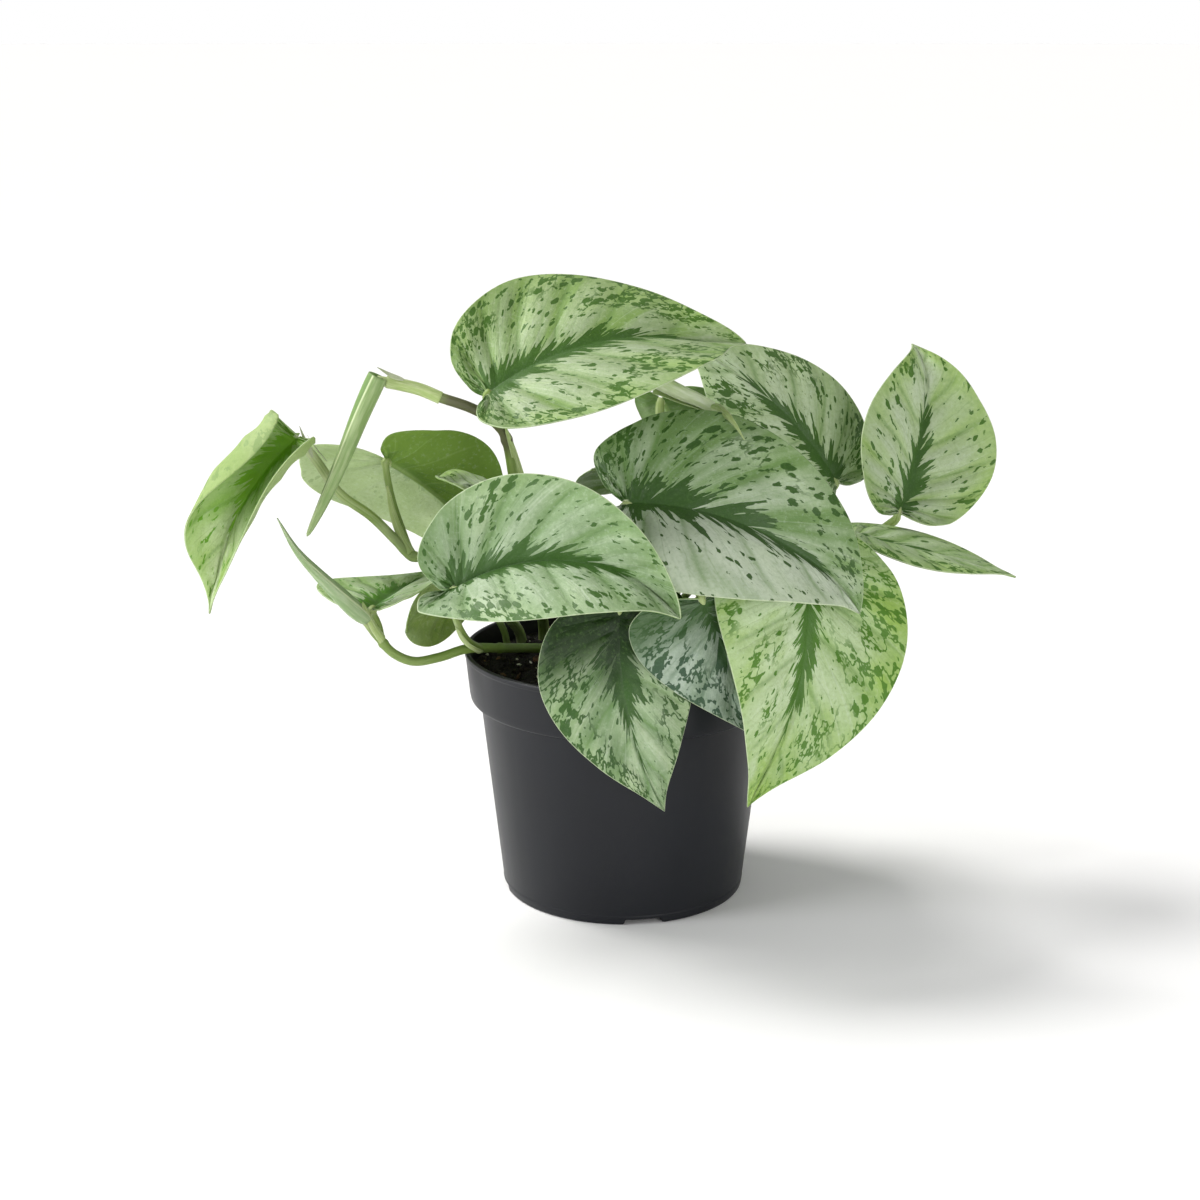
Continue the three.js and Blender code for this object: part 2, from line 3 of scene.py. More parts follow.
import bpy
import numpy as np
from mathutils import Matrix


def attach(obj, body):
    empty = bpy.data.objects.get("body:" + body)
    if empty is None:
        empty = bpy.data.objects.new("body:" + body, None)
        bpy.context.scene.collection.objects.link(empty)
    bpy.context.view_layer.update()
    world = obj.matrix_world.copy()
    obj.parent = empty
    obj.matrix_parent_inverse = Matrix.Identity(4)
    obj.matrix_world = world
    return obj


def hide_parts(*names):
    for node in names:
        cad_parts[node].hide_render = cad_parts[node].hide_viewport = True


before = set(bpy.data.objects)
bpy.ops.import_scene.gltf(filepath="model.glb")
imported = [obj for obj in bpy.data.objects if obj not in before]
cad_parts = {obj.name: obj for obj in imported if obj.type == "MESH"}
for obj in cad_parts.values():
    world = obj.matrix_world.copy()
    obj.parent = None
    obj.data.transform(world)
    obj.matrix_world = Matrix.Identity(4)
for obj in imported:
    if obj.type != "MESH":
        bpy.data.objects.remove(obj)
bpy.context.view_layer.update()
mm = 0.001


class Signal:
    # One shader socket that can stand in a Python expression: each operator adds a Math node.
    def __init__(self, paint, socket):
        self.paint = paint
        self.socket = socket

    def maths(self, operation, *others):
        node = self.paint.node("ShaderNodeMath", {"operation": operation}, dict(enumerate((self, *others))))
        return Signal(self.paint, node.outputs[0])

    def __add__(self, other):
        return self.maths("ADD", other)

    def __mul__(self, other):
        return self.maths("MULTIPLY", other)

    def __sub__(self, other):
        return self.maths("SUBTRACT", other)

    def __rsub__(self, other):
        flipped = self.paint.node("ShaderNodeMath", {"operation": "SUBTRACT"}, {0: other, 1: self})
        return Signal(self.paint, flipped.outputs[0])

    def __truediv__(self, other):
        return self.maths("DIVIDE", other)

    def __abs__(self):
        return self.maths("ABSOLUTE")

    __radd__ = __add__
    __rmul__ = __mul__

    def sine(self):
        return self.maths("SINE")

    def least(self, other):
        return self.maths("MINIMUM", other)

    def most(self, other):
        return self.maths("MAXIMUM", other)

    # 0 below low, 1 above high, and an even S between them; low may be the larger.
    def step(self, low, high):
        node = self.paint.node("ShaderNodeMapRange", {"interpolation_type": "SMOOTHSTEP"},
                               {"Value": self, "From Min": low, "From Max": high})
        return Signal(self.paint, node.outputs[0])


class Paint:
    # One material, or the world, and the nodes in it.
    def __init__(self, name, kind="Material"):
        kept = bpy.data.worlds if kind == "World" else bpy.data.materials
        self.owner = kept.new(name)
        self.owner.use_nodes = True
        self.tree = self.owner.node_tree
        self.tree.nodes.clear()
        self.output = self.node("ShaderNodeOutput" + kind)

    # Settings go in first, since they can change a node's sockets; then values or links.
    def node(self, kind, settings=None, values=None):
        node = self.tree.nodes.new(kind)
        for key, value in (settings or {}).items():
            if key == "stops":
                ramp = node.color_ramp
                for i, (place, tone) in enumerate(value):
                    stop = ramp.elements[i] if i < 2 else ramp.elements.new(place)
                    stop.position = place
                    stop.color = (*tone, 1)
            else:
                setattr(node, key, value)
        for key, value in (values or {}).items():
            matching = [s for s in node.inputs if s.identifier == key or s.name == key]
            socket = node.inputs[key] if isinstance(key, int) else matching[0]
            if isinstance(value, Signal):
                self.tree.links.new(value.socket, socket)
            elif isinstance(value, bpy.types.NodeSocket):
                self.tree.links.new(value, socket)
            else:
                socket.default_value = value
        return node

    def noise(self, place, scale, detail=2.0, roughness=0.5):
        node = self.node("ShaderNodeTexNoise", {"noise_dimensions": "3D"},
                         {"Vector": place, "Scale": scale, "Detail": detail, "Roughness": roughness})
        return Signal(self, node.outputs[0])

    # Cells round scattered points: the distance from a cell's point and a number of the cell's own.
    def cells(self, place, scale, scatter=1.0):
        node = self.node("ShaderNodeTexVoronoi", {"feature": "F1"},
                         {"Vector": place, "Scale": scale, "Randomness": scatter})
        return Signal(self, node.outputs["Distance"]), node.outputs["Color"]

    def vector(self, x, y, z):
        return self.node("ShaderNodeCombineXYZ", None, {0: x, 1: y, 2: z}).outputs[0]

    def place(self):
        return self.node("ShaderNodeTexCoord").outputs["Object"]

    def parts(self, vector):
        node = self.node("ShaderNodeSeparateXYZ", None, {0: vector})
        return [Signal(self, out) for out in node.outputs]

    def number(self, attribute):
        node = self.node("ShaderNodeAttribute", {"attribute_name": attribute})
        return Signal(self, node.outputs["Fac"])

    # A mix of two colours by a number from 0 to 1. Each is a link, an sRGB hex text, or linear red,
    # green, blue and 1.
    def blend(self, factor, first, second):
        first, second = [(*colour(c), 1) if isinstance(c, str) else c for c in (first, second)]
        node = self.node("ShaderNodeMix", {"data_type": "RGBA", "blend_type": "MIX", "clamp_factor": True},
                         {"Factor_Float": factor, "A_Color": first, "B_Color": second})
        return node.outputs[2]

    def bump(self, height, distance, strength=1.0):
        values = {"Height": height, "Distance": distance, "Strength": strength}
        return self.node("ShaderNodeBump", None, values).outputs[0]

    def surface(self, **values):
        named = {key.replace("_", " "): value for key, value in values.items()}
        shader = self.node("ShaderNodeBsdfPrincipled", None, named)
        self.tree.links.new(shader.outputs[0], self.output.inputs[0])
        return self.owner


# An sRGB hex colour as linear red, green and blue.
def colour(text):
    shares = [int(text[i:i + 2], 16) / 255 for i in (0, 2, 4)]
    return tuple(x / 12.92 if x <= 0.04045 else ((x + 0.055) / 1.055) ** 2.4 for x in shares)


# How far red, green and blue light spreads inside leaf and stem, against each other.
leafScatter = (1.0, 1.3, 0.45)


# Whether a closed mesh is inside out: its faces, cut into triangles, sum to a negative volume.
def insideOut(points, faces):
    points = np.asarray(points, float)
    total = 0.0
    for corners in (3, 4):
        some = np.array([face for face in faces if len(face) == corners], int)
        for k in range(1, corners - 1):
            if len(some):
                a, b, c = (points[some[:, i]] for i in (0, k, k + 1))
                total += np.einsum("ij,ij->", a, np.cross(b, c))
    return total < 0


# A mesh in metres from points in mm.
def makeMesh(name, points, faces):
    mesh = bpy.data.meshes.new(name)
    mesh.from_pydata((np.asarray(points) * mm).tolist(), [], faces)
    return mesh


# An object in the scene for a mesh, a light or a camera.
def inScene(name, data):
    made = bpy.data.objects.new(name, data)
    bpy.context.scene.collection.objects.link(made)
    return made


# A closed mesh with its point numbers, map and material, riding on the plant's one body.
def makePiece(name, points, faces, material, numbers=None, uv=None, replaces=()):
    if insideOut(points, faces):
        faces = [face[::-1] for face in faces]
    mesh = makeMesh(name, points, faces)
    mesh.polygons.foreach_set("use_smooth", np.ones(len(mesh.polygons), bool))
    for key, values in (numbers or {}).items():
        layer = mesh.attributes.new(key, "FLOAT", "POINT")
        layer.data.foreach_set("value", np.asarray(values, np.float32))
    if uv is not None:
        corners = np.empty(len(mesh.loops), np.int32)
        mesh.loops.foreach_get("vertex_index", corners)
        layer = mesh.uv_layers.new(name="growthMap")
        layer.data.foreach_set("uv", np.asarray(uv, np.float32)[corners].ravel())
    mesh.materials.append(material)
    mesh.update()
    piece = inScene(name, mesh)
    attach(piece, "root")
    if replaces:
        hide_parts(*replaces)
    return piece


# Quads of rings of points: row i, column j to row i + 1, column j + 1, the columns closing into a ring.
def ringFaces(rows, columns, first=0):
    i, j = np.meshgrid(np.arange(rows - 1), np.arange(columns), indexing="ij")
    a = first + i * columns + j
    b = first + i * columns + (j + 1) % columns
    c = first + (i + 1) * columns + (j + 1) % columns
    d = first + (i + 1) * columns + j
    return np.stack([a, b, c, d], -1).reshape(-1, 4).tolist()


# Triangles from one ring of points to a single point at its end.
def capFaces(start, columns, pole, flip):
    j = np.arange(columns)
    a, b = start + j, start + (j + 1) % columns
    pair = (b, a) if flip else (a, b)
    return np.stack([*pair, np.full(columns, pole)], -1).tolist()


def unit(v):
    return v / np.maximum(np.linalg.norm(v, axis=-1, keepdims=True), 1e-12)


# A smooth curve through the route's points: centripetal Catmull-Rom, read at even shares of its length.
def smoothRoute(route, count):
    p = np.asarray(route, float)
    p = np.vstack([2 * p[0] - p[1], p, 2 * p[-1] - p[-2]])
    knots = np.concatenate([[0], np.cumsum(np.linalg.norm(np.diff(p, axis=0), axis=1) ** 0.5)])
    out = []
    for i in range(1, len(p) - 2):
        t0, t1, t2, t3 = knots[i - 1:i + 3]
        t = np.linspace(t1, t2, 24, endpoint=False)[:, None]
        a1 = (t1 - t) / (t1 - t0) * p[i - 1] + (t - t0) / (t1 - t0) * p[i]
        a2 = (t2 - t) / (t2 - t1) * p[i] + (t - t1) / (t2 - t1) * p[i + 1]
        a3 = (t3 - t) / (t3 - t2) * p[i + 1] + (t - t2) / (t3 - t2) * p[i + 2]
        b1 = (t2 - t) / (t2 - t0) * a1 + (t - t0) / (t2 - t0) * a2
        b2 = (t3 - t) / (t3 - t1) * a2 + (t - t1) / (t3 - t1) * a3
        out.append((t2 - t) / (t2 - t1) * b1 + (t - t1) / (t2 - t1) * b2)
    out.append(p[-2:-1])
    fine = np.vstack(out)
    lengths = np.concatenate([[0], np.cumsum(np.linalg.norm(np.diff(fine, axis=0), axis=1))])
    even = np.linspace(0, lengths[-1], count)
    return np.stack([np.interp(even, lengths, fine[:, k]) for k in range(3)], -1)


# Directions across a line of points that turn as little as they can: each is the last one laid
# square to the new direction.
def carriedFrames(points, across):
    forward = unit(np.gradient(points, axis=0))
    side = np.empty_like(points)
    last = np.asarray(across, float)
    for i, f in enumerate(forward):
        last = last - f * (last @ f)
        last = last / np.linalg.norm(last)
        side[i] = last
    return forward, side, np.cross(forward, side)


# Points round a carried line: radius and angle are given for each row and column.
def aroundLine(points, side, other, radius, angle):
    return (points[:, None] + side[:, None] * (radius * np.cos(angle))[..., None]
            + other[:, None] * (radius * np.sin(angle))[..., None])


# Two grids of points, one over the other, closed into a shell: a face between each four points of
# either grid, and a strip along each of the four edges. Returns the points and the faces.
def shell(upper, lower):
    rows, columns = upper.shape[:2]
    index = np.arange(rows * columns).reshape(rows, columns)
    under = index + rows * columns
    quads = lambda a: np.stack([a[:-1, :-1], a[:-1, 1:], a[1:, 1:], a[1:, :-1]], -1).reshape(-1, 4)
    strip = lambda a, b: np.stack([a[:-1], b[:-1], b[1:], a[1:]], -1)
    faces = [quads(index), quads(under)[:, ::-1],
             strip(index[0], under[0]), strip(under[-1], index[-1]),
             strip(under[:, 0], index[:, 0]), strip(index[:, -1], under[:, -1])]
    return np.concatenate([upper.reshape(-1, 3), lower.reshape(-1, 3)]), np.concatenate(faces).tolist()


# How far out a leaf's margin lies and where the vein to it leaves the midrib, from the stalk round
# to the tip, as shares of the length and of the half width.
marginAlong = np.array([0, -0.055, -0.07, 0.05, 0.27, 0.5, 0.72, 0.89, 1])
marginOut = np.array([0, 0.2, 0.5, 0.84, 1, 0.89, 0.57, 0.2, 0])
veinRoot = np.array([0, 0.002, 0.012, 0.035, 0.11, 0.27, 0.49, 0.76, 1])
veinSweep = 1.35
hookStart = 0.7


# Catmull-Rom through values at even steps of t from 0 to 1, with straight run-outs at the ends.
def through(values, t):
    spans = len(values) - 1
    x = np.clip(t, 0, 1) * spans
    i = np.minimum(x.astype(int), spans - 1)
    f = x - i
    longer = np.concatenate([[2 * values[0] - values[1]], values, [2 * values[-1] - values[-2]]])
    a, b, c, d = (longer[i + k] for k in range(4))
    return 0.5 * (2 * b + (c - a) * f + (2 * a - 5 * b + 4 * c - d) * f ** 2
                  + (3 * b - a - 3 * c + d) * f ** 3)


# The midrib in its own plane: its angle falls by droop evenly and by hook near the tip, the places
# are the running sums of cosine and sine, and all is turned so that the chord lies level.
def midribCurve(droop, hook):
    along = np.linspace(0, 1, 49)
    late = np.clip((along - hookStart) / (1 - hookStart), 0, 1)
    angle = -np.radians(droop * along + hook * late * late * (3 - 2 * late))
    middle = (angle[1:] + angle[:-1]) / 2
    x = np.concatenate([[0], np.cumsum(np.cos(middle))]) / 48
    z = np.concatenate([[0], np.cumsum(np.sin(middle))]) / 48
    tilt = math.atan2(z[-1], x[-1])
    c, s = math.cos(tilt), math.sin(tilt)
    return along, x * c + z * s, z * c - x * s, angle - tilt, math.hypot(x[-1], z[-1])


# The blade's middle surface. A point starts on the midrib where its vein leaves it and goes out
# along the vein; each half is an arc across (fold at the midrib, curl over its width) with margin
# waves on it, turned by the twist, bowed sideways and set square to the bent midrib.
def bladeSurface(leaf, along, side):
    base, tip, up = (np.array(leaf[key], float) for key in ("base", "tip", "face"))
    chordLength = np.linalg.norm(tip - base)
    forward = (tip - base) / chordLength
    up = unit(up - forward * (up @ forward))
    left = np.cross(up, forward)
    steps, midX, midZ, midAngle, chord = midribCurve(leaf["droop"], leaf["hook"])
    length = chordLength / chord
    first = side >= 0
    half = lambda key: np.where(first, leaf[key][0], leaf[key][1])
    out = np.abs(side)
    root = through(veinRoot, along)
    reach = through(marginAlong, along)
    edge = np.where(reach < 0, reach * half("lobes"), reach)
    x = root + (edge - root) * out ** veinSweep
    belly = 1 + leaf["full"] * 2 * (np.clip(edge, 0, 1) - 0.35)
    y = through(marginOut, along) * out * belly
    bow = 4 * leaf["sway"] * x * np.where(x < 0, 1, 1 - x)
    behind = x < 0
    px = np.where(behind, x * math.cos(midAngle[0]), np.interp(x, steps, midX))
    pz = np.where(behind, x * math.sin(midAngle[0]), np.interp(x, steps, midZ))
    angle = np.where(behind, midAngle[0], np.interp(x, steps, midAngle))
    fold = np.radians(half("fold"))
    curl = np.radians(half("curl"))
    bend = half("widths") / curl
    across = bend * (np.sin(fold) - np.sin(fold - curl * y))
    ripple = leaf["wave"] * out ** 2 * np.sqrt(np.sin(np.pi * np.clip(along, 0, 1)))
    ripple = ripple * np.sin(3 * np.pi * along + leaf["phase"] + np.where(first, 0, 1.3))
    lift = bend * (np.cos(fold - curl * y) - np.cos(fold)) + ripple
    turn = np.radians(leaf["twist"]) * np.clip(x, 0, 1)
    sign = np.sign(side)
    sideways = sign * across * np.cos(turn) - lift * np.sin(turn) + bow
    height = sign * across * np.sin(turn) + lift * np.cos(turn)
    point = (base + forward * (px * length - np.sin(angle) * height)[..., None]
             + left * sideways[..., None] + up * (pz * length + np.cos(angle) * height)[..., None])
    return point, x


bladeMake = {
    "rows": 104,  # from stalk to tip
    "thickness": 0.55,
    "ribHeight": 1.15,  # of the midrib under the blade, at the stalk
    "ribWidth": 0.9,
    "ribAtTip": 0.12,
    "grooveDepth": 0.3,  # of the midrib's channel on top
    "grooveWidth": 0.9,
    "quiltDepth": 0.85,  # between side veins
    "pucker": 0.9,  # wider unevenness
    "veinsPerHalf": 9,
    "veinWander": (9, 0.012),  # how fast and how far the side veins' spacing varies
    "veinShift": 0.25,  # between the halves, so that side veins leave the midrib in turn
    "crowding": 0.6,  # of the rows towards both ends
    # where the columns of points lie between midrib and margin
    "outShares": (0, 0.012, 0.03, 0.055, 0.09, 0.135, 0.185, 0.24, 0.3, 0.365, 0.43, 0.5, 0.57, 0.64, 0.705,
                  0.77, 0.83, 0.885, 0.93, 0.962, 0.983, 0.995, 1),
}


# A leaf's blade: the middle surface, moved along its normal by half the thickness (rounded off at
# the margin), by quilting between the side veins, by the midrib's channel above and its ridge below.
# Rings run from the stalk to the tip: over the upper face from right to left, then back below.
def makeBlade(leaf, material):
    make = bladeMake
    rows = make["rows"]
    even = np.linspace(0, 1, rows + 2)[1:-1]
    along = make["crowding"] * (0.5 - 0.5 * np.cos(np.pi * even)) + (1 - make["crowding"]) * even
    outShares = np.array(make["outShares"])
    sides = np.concatenate([-outShares[:0:-1], outShares])
    a, s = np.meshgrid(along, sides, indexing="ij")
    middle, x = bladeSurface(leaf, a, s)
    near = 0.004
    slopeAlong = bladeSurface(leaf, a + near, s)[0] - bladeSurface(leaf, a - near, s)[0]
    slopeAcross = bladeSurface(leaf, a, s + near)[0] - bladeSurface(leaf, a, s - near)[0]
    normal = unit(np.cross(slopeAlong, slopeAcross))
    steps = np.linalg.norm(np.diff(middle, axis=1), axis=2)
    centre = len(outShares) - 1
    rib = np.zeros_like(a)
    rib[:, centre + 1:] = np.cumsum(steps[:, centre:], axis=1)
    rib[:, :centre] = np.cumsum(steps[:, centre - 1::-1], axis=1)[:, ::-1]
    edge = np.where(s >= 0, rib[:, -1:], rib[:, :1]) - rib
    half = make["thickness"] / 2
    rounding = np.sqrt(1 - (1 - np.clip(edge / half, 0, 1)) ** 2)
    seed = leaf["look"]["seed"]
    pace, wander = make["veinWander"]
    veins = make["veinsPerHalf"] * (a + wander * np.sin(pace * a + seed)) + make["veinShift"] * np.sign(s)
    softness = (np.sin(np.pi * np.clip(np.abs(s), 0, 1)) ** 0.8) * np.sin(np.pi * a) ** 0.5
    quilt = make["quiltDepth"] * softness * (np.abs(np.sin(np.pi * veins)) - 0.6)
    hollows = np.sin(15.3 * a + 3.3 * s + seed) + np.sin(8.7 * s - 4 * a + 2 * seed)
    pucker = make["pucker"] * softness * hollows / 2
    grow = np.clip(1 - x, 0, 1)
    channel = make["grooveDepth"] * np.exp(-(rib / make["grooveWidth"]) ** 2) * grow
    ridge = (make["ribAtTip"] + make["ribHeight"] * grow ** 1.4) * np.exp(-(rib / make["ribWidth"]) ** 2)
    ridge *= np.clip(1 + x / 0.05, 0, 1)
    lift = (quilt + pucker)[..., None] * normal
    upper = middle + lift + normal * (half * rounding - channel)[..., None]
    lower = middle + lift - normal * (half * rounding + ridge)[..., None]
    columns = 2 * len(sides) - 2
    points = np.concatenate([upper, lower[:, -2:0:-1]], axis=1)
    ring = lambda field: np.concatenate([field, field[:, -2:0:-1]], axis=1)
    ends, _ = bladeSurface(leaf, np.array([0.0, 1.0]), np.array([0.0, 0.0]))
    under = np.concatenate([np.zeros((rows, len(sides))), np.ones((rows, len(sides) - 2))], axis=1)
    under[:, [0, len(sides) - 1]] = 0.5
    pack = lambda field, first, last: np.concatenate([ring(field).ravel(), [first, last]])
    count = rows * columns
    faces = ringFaces(rows, columns)
    faces += capFaces(0, columns, count, True) + capFaces((rows - 1) * columns, columns, count + 1, False)
    uv = np.stack([pack(a, 0, 1), pack((s + 1) / 2, 0.5, 0.5)], -1)
    numbers = {"ribDistance": pack(rib, 0, 0), "edgeDistance": pack(edge, 0.3, 0),
               "lengthShare": pack(x, 0, 1), "underside": np.concatenate([under.ravel(), [0.5, 0.5]])}
    points = np.vstack([points.reshape(-1, 3), ends])
    makePiece(leaf["name"] + "Blade", points, faces, material, numbers, uv, [leaf["name"]])


# What a leaf's surface shows. centre: half width in mm of the dark zone along the midrib; ends: where
# along the blade it stops; jag: how far its fingers run in and out; flecks: how much of the silver
# the dark flecks take, on the left and the right half; lobeFlecks: how much more near the stalk;
# net: how far the flecks join up; slant: how far the side veins lean forwards; pallor: how much of
# each half is pale rather than sea green, partly painted light and shade, a half in shade set greener
# and a lit half paler; young and youngTip: how yellow the blade and its tip are; deep: how strong the
# painted shade near the stalk is, where the blade lies under other leaves, up to the share reach of
# the length; backLean: how much paler the left half is underneath and darker the right, painted light
# and shade of the two halves. The rest are colours.
leafLook = {
    "centre": 5.0, "ends": 0.9, "jag": 5.0, "flecks": (0.5, 0.5), "lobeFlecks": 0.3, "net": 0.0,
    "slant": 0.12, "pallor": (0.6, 0.8), "young": 0.2, "youngTip": 0.0, "deep": 0.3, "reach": 0.25,
    "backLean": 0.0, "silver": "86a064", "pale": "b6c3a8", "green": "30550f", "rib": "2f5318",
    "youngTint": "8caf48", "vein": "5d7f42", "deepTint": "2c4c14", "back": "7f9e55", "backPale": "a0b683",
    "fibre": "7f9a70", "shine": "d3dccb", "youngGreen": "4d7a1c", "worn": "4b7034", "knee": "cfd8b4",
    "margin": "bac7a4", "backGreen": "5b7d3f", "backVein": "a3b87a", "backRib": "90aa63",
}
# The noises that the marks are cut from: size in mm across the side veins and along them, a shift
# that keeps each apart from the others, detail and roughness.
leafMarks = {
    "fingers": (6.5, 40.0, 0.0, 2.0, 0.5),
    "teeth": (2.6, 15.0, 3.1, 3.0, 0.6),
    "splinters": (1.5, 8.0, 4.4, 2.0, 0.55),
    "spots": (2.3, 4.6, 5.7, 3.0, 0.5),
    "patches": (17.0, 20.0, 8.9, 1.0, 0.5),
    "webs": (5.0, 9.0, 11.3, 3.0, 0.6),
    "lines": (0.9, 60.0, 2.3, 1.0, 0.5),
    "bands": (5.5, 90.0, 6.4, 1.0, 0.5),
}
leafGloss = {"roughness": 0.5, "specular": 0.26, "subsurface": 0.06, "spread": 0.7, "relief": 1.1}


def leafPaint(leaf):
    look = {**leafLook, **leaf["look"]}
    # The midrib is about a tenth longer than the chord, and marks are drawn out less along the blade.
    length = np.linalg.norm(np.subtract(leaf["tip"], leaf["base"])) * 1.1 * 1.35
    width = sum(leaf["widths"]) / 2
    paint = Paint(leaf["name"] + "Skin")
    uv = paint.node("ShaderNodeUVMap", {"uv_map": "growthMap"}).outputs[0]
    along, acrossShare, _ = paint.parts(uv)
    side = acrossShare * 2 - 1
    out = abs(side)
    keys = ("ribDistance", "edgeDistance", "underside", "lengthShare")
    rib, edge, under, forth = (paint.number(key) for key in keys)

    # Every pattern is noise on the map in mm, divided by the size of its marks across the side veins
    # and along them. Side veins start out slanting forwards, so the map is slid back by as much.
    seed = float(look["seed"]) * 7.3
    slant = out / (out + 0.25) * along.step(0.0, 0.3) * look["slant"]
    flow = along - slant

    def marks(key, place=flow):
        across, lengthwise, shift, detail, rough = leafMarks[key]
        spot = paint.vector(place * (length / across), side * (width / lengthwise), seed + shift)
        return paint.noise(spot, 1.0, detail, rough)

    # Near the stalk the veins fan out from one point, so the zone's fingers are spread by less there.
    fan = flow.most(0.45) + flow.least(0.45) * 0.4
    fingers, teeth, splinters = (marks(key, fan) for key in ("fingers", "teeth", "splinters"))
    plain = ("spots", "patches", "webs", "lines", "bands")
    spots, patches, webs, lines, bands = (marks(key) for key in plain)

    # The dark zone: as far from the midrib as its own half width, pushed in and out by the fingers.
    swell = along.step(0.0, 0.4) * 0.5 + 0.5
    taper = along.step(look["ends"] + 0.03, look["ends"] - 0.3)
    push = (fingers - 0.5) * 4.0 + (teeth - 0.5) * 5.5 + (splinters - 0.5) * 3.6 * rib.step(0.5, 3.5)
    zone = (look["centre"] * swell * 0.8 + push * look["jag"]) * (taper * 0.8 + 0.2) - (1 - taper) * 1.8
    centre = (zone - rib).step(-0.12, 0.2)

    # Flecks: dots about 2 mm wide, each of its own size, and larger blots where two noises agree.
    lean = acrossShare.step(0.4, 0.6)
    share = look["flecks"][0] * lean + look["flecks"][1] * (1 - lean)
    outer = out.step(0.1, 0.75) * 0.5 + 0.5
    density = share * outer + along.step(0.3, 0.0) * out.step(0.1, 0.5) * look["lobeFlecks"]
    density = density + (patches - 0.5) * 1.6 - along.step(0.75, 1.0) * 0.2
    spot = paint.vector(flow * (length / 3.4) + (teeth - 0.5) * 0.8,
                        side * (width / 4.4) + (splinters - 0.5) * 0.8, seed)
    fromMiddle, tones = paint.cells(spot, 1.0, 0.8)
    size = (paint.parts(tones)[0] * 0.55 - 0.24 + (density - 0.6) * 0.44).least(0.5)
    dots = (size - fromMiddle + (spots - 0.5) * 0.5).step(-0.02, 0.04)
    level = 0.72 - density.most(0.0) * 0.12
    blots = (spots + (teeth - 0.5) * 0.2 - level).step(-0.008, 0.016)
    web = abs(webs - 0.5).step(0.036, 0.02) * (density - 1.0 + look["net"]).step(0.0, 0.25)
    green = centre.most(dots.most(blots)).most(web)

    # The blade is raised between its side veins, where it is painted palest as a painted highlight; the
    # grooves are painted green, partly the veins' own green and partly painted shade; hair veins are green.
    pace, wander = bladeMake["veinWander"]
    veins = (along + (along * pace + look["seed"]).sine() * wander) * bladeMake["veinsPerHalf"]
    veins = veins + side.maths("SIGN") * bladeMake["veinShift"]
    quilt = abs((veins * np.pi).sine())
    hairs = abs((veins * (np.pi * 2.5) + (bands - 0.5) * 3.0 + (teeth - 0.5) * 2.0).sine())
    firm = out.step(0.02, 0.2) * out.step(1.02, 0.8) * along.step(0.02, 0.15)

    # The upper side: silver, then the green marks, the knee of the stalk and the pale margin.
    tint = (patches * 1.4 + out * 0.55 + (bands - 0.5) - 0.8).step(0.0, 0.95) * look["young"] * 1.6
    if look["youngTip"]:
        tint = tint.most((along + (patches - 0.5) * 0.4).step(0.72, 0.98) * look["youngTip"])
    tint = tint.least(1.0)
    # How pale each half is, is partly painted light and shade: a half that lies in shade is set greener and a
    # lit half paler.
    pallor = look["pallor"][0] * lean + look["pallor"][1] * (1 - lean) - out.step(0.6, 1.0) * 0.15
    pallor = pallor + (bands - 0.5) * 1.6 + (patches - 0.5) * 1.0 + (quilt - 0.6) * 0.5 * firm
    silver = paint.blend(pallor.most(0.0).least(1.0), look["silver"], look["pale"])
    silver = paint.blend(tint, silver, look["youngTint"])
    silver = paint.blend((0.3 - quilt).step(0.0, 0.3) * firm * 0.4, silver, look["vein"])
    silver = paint.blend((0.22 - hairs).step(0.0, 0.2) * firm * 0.22, silver, look["vein"])
    silver = paint.blend((lines - 0.5).step(0.0, 0.22) * 0.12, silver, look["fibre"])
    silver = paint.blend((0.42 - lines).step(0.0, 0.2) * 0.15, silver, look["shine"])
    deep = paint.blend(tint * 0.6, look["green"], look["youngGreen"])
    deep = paint.blend((teeth * 1.4 - 0.35).step(0.0, 1.0) * 0.25, deep, look["worn"])
    deep = paint.blend(rib.step(5.0, 1.0) * centre * 0.6, deep, look["rib"])
    top = paint.blend(green * 0.96, silver, deep)
    # Painted shade over the blade near the stalk, where it lies under other leaves, up to the share reach of
    # the length.
    nearStalkShading = (forth + (patches - 0.5) * 0.3).step(look["reach"], look["reach"] - 0.4) * look["deep"]
    top = paint.blend(nearStalkShading, top, look["deepTint"])
    top = paint.blend(along.step(0.3, 0.2) * rib.step(1.5, 1.1) * 0.95, top, look["knee"])
    top = paint.blend(edge.step(0.42, 0.12) * 0.7, top, look["margin"])

    # The underside: plain green, with the marks and veins only just showing through. backLean paints the left
    # half paler and the right half darker: painted light and shade of the two halves.
    shareBelow = (patches - 0.3).step(0.0, 0.5) * 0.5 + (lean - 0.5) * look["backLean"]
    below = paint.blend(shareBelow.most(0.0).least(1.0), look["back"], look["backPale"])
    below = paint.blend(green * 0.4, below, look["backGreen"])
    below = paint.blend((0.16 - quilt).step(0.0, 0.16) * out.step(1.0, 0.7) * 0.22, below, look["backVein"])
    below = paint.blend(rib.step(1.3, 0.6) * 0.6, below, look["backRib"])
    skin = paint.blend(under.step(0.45, 0.55), top, below)

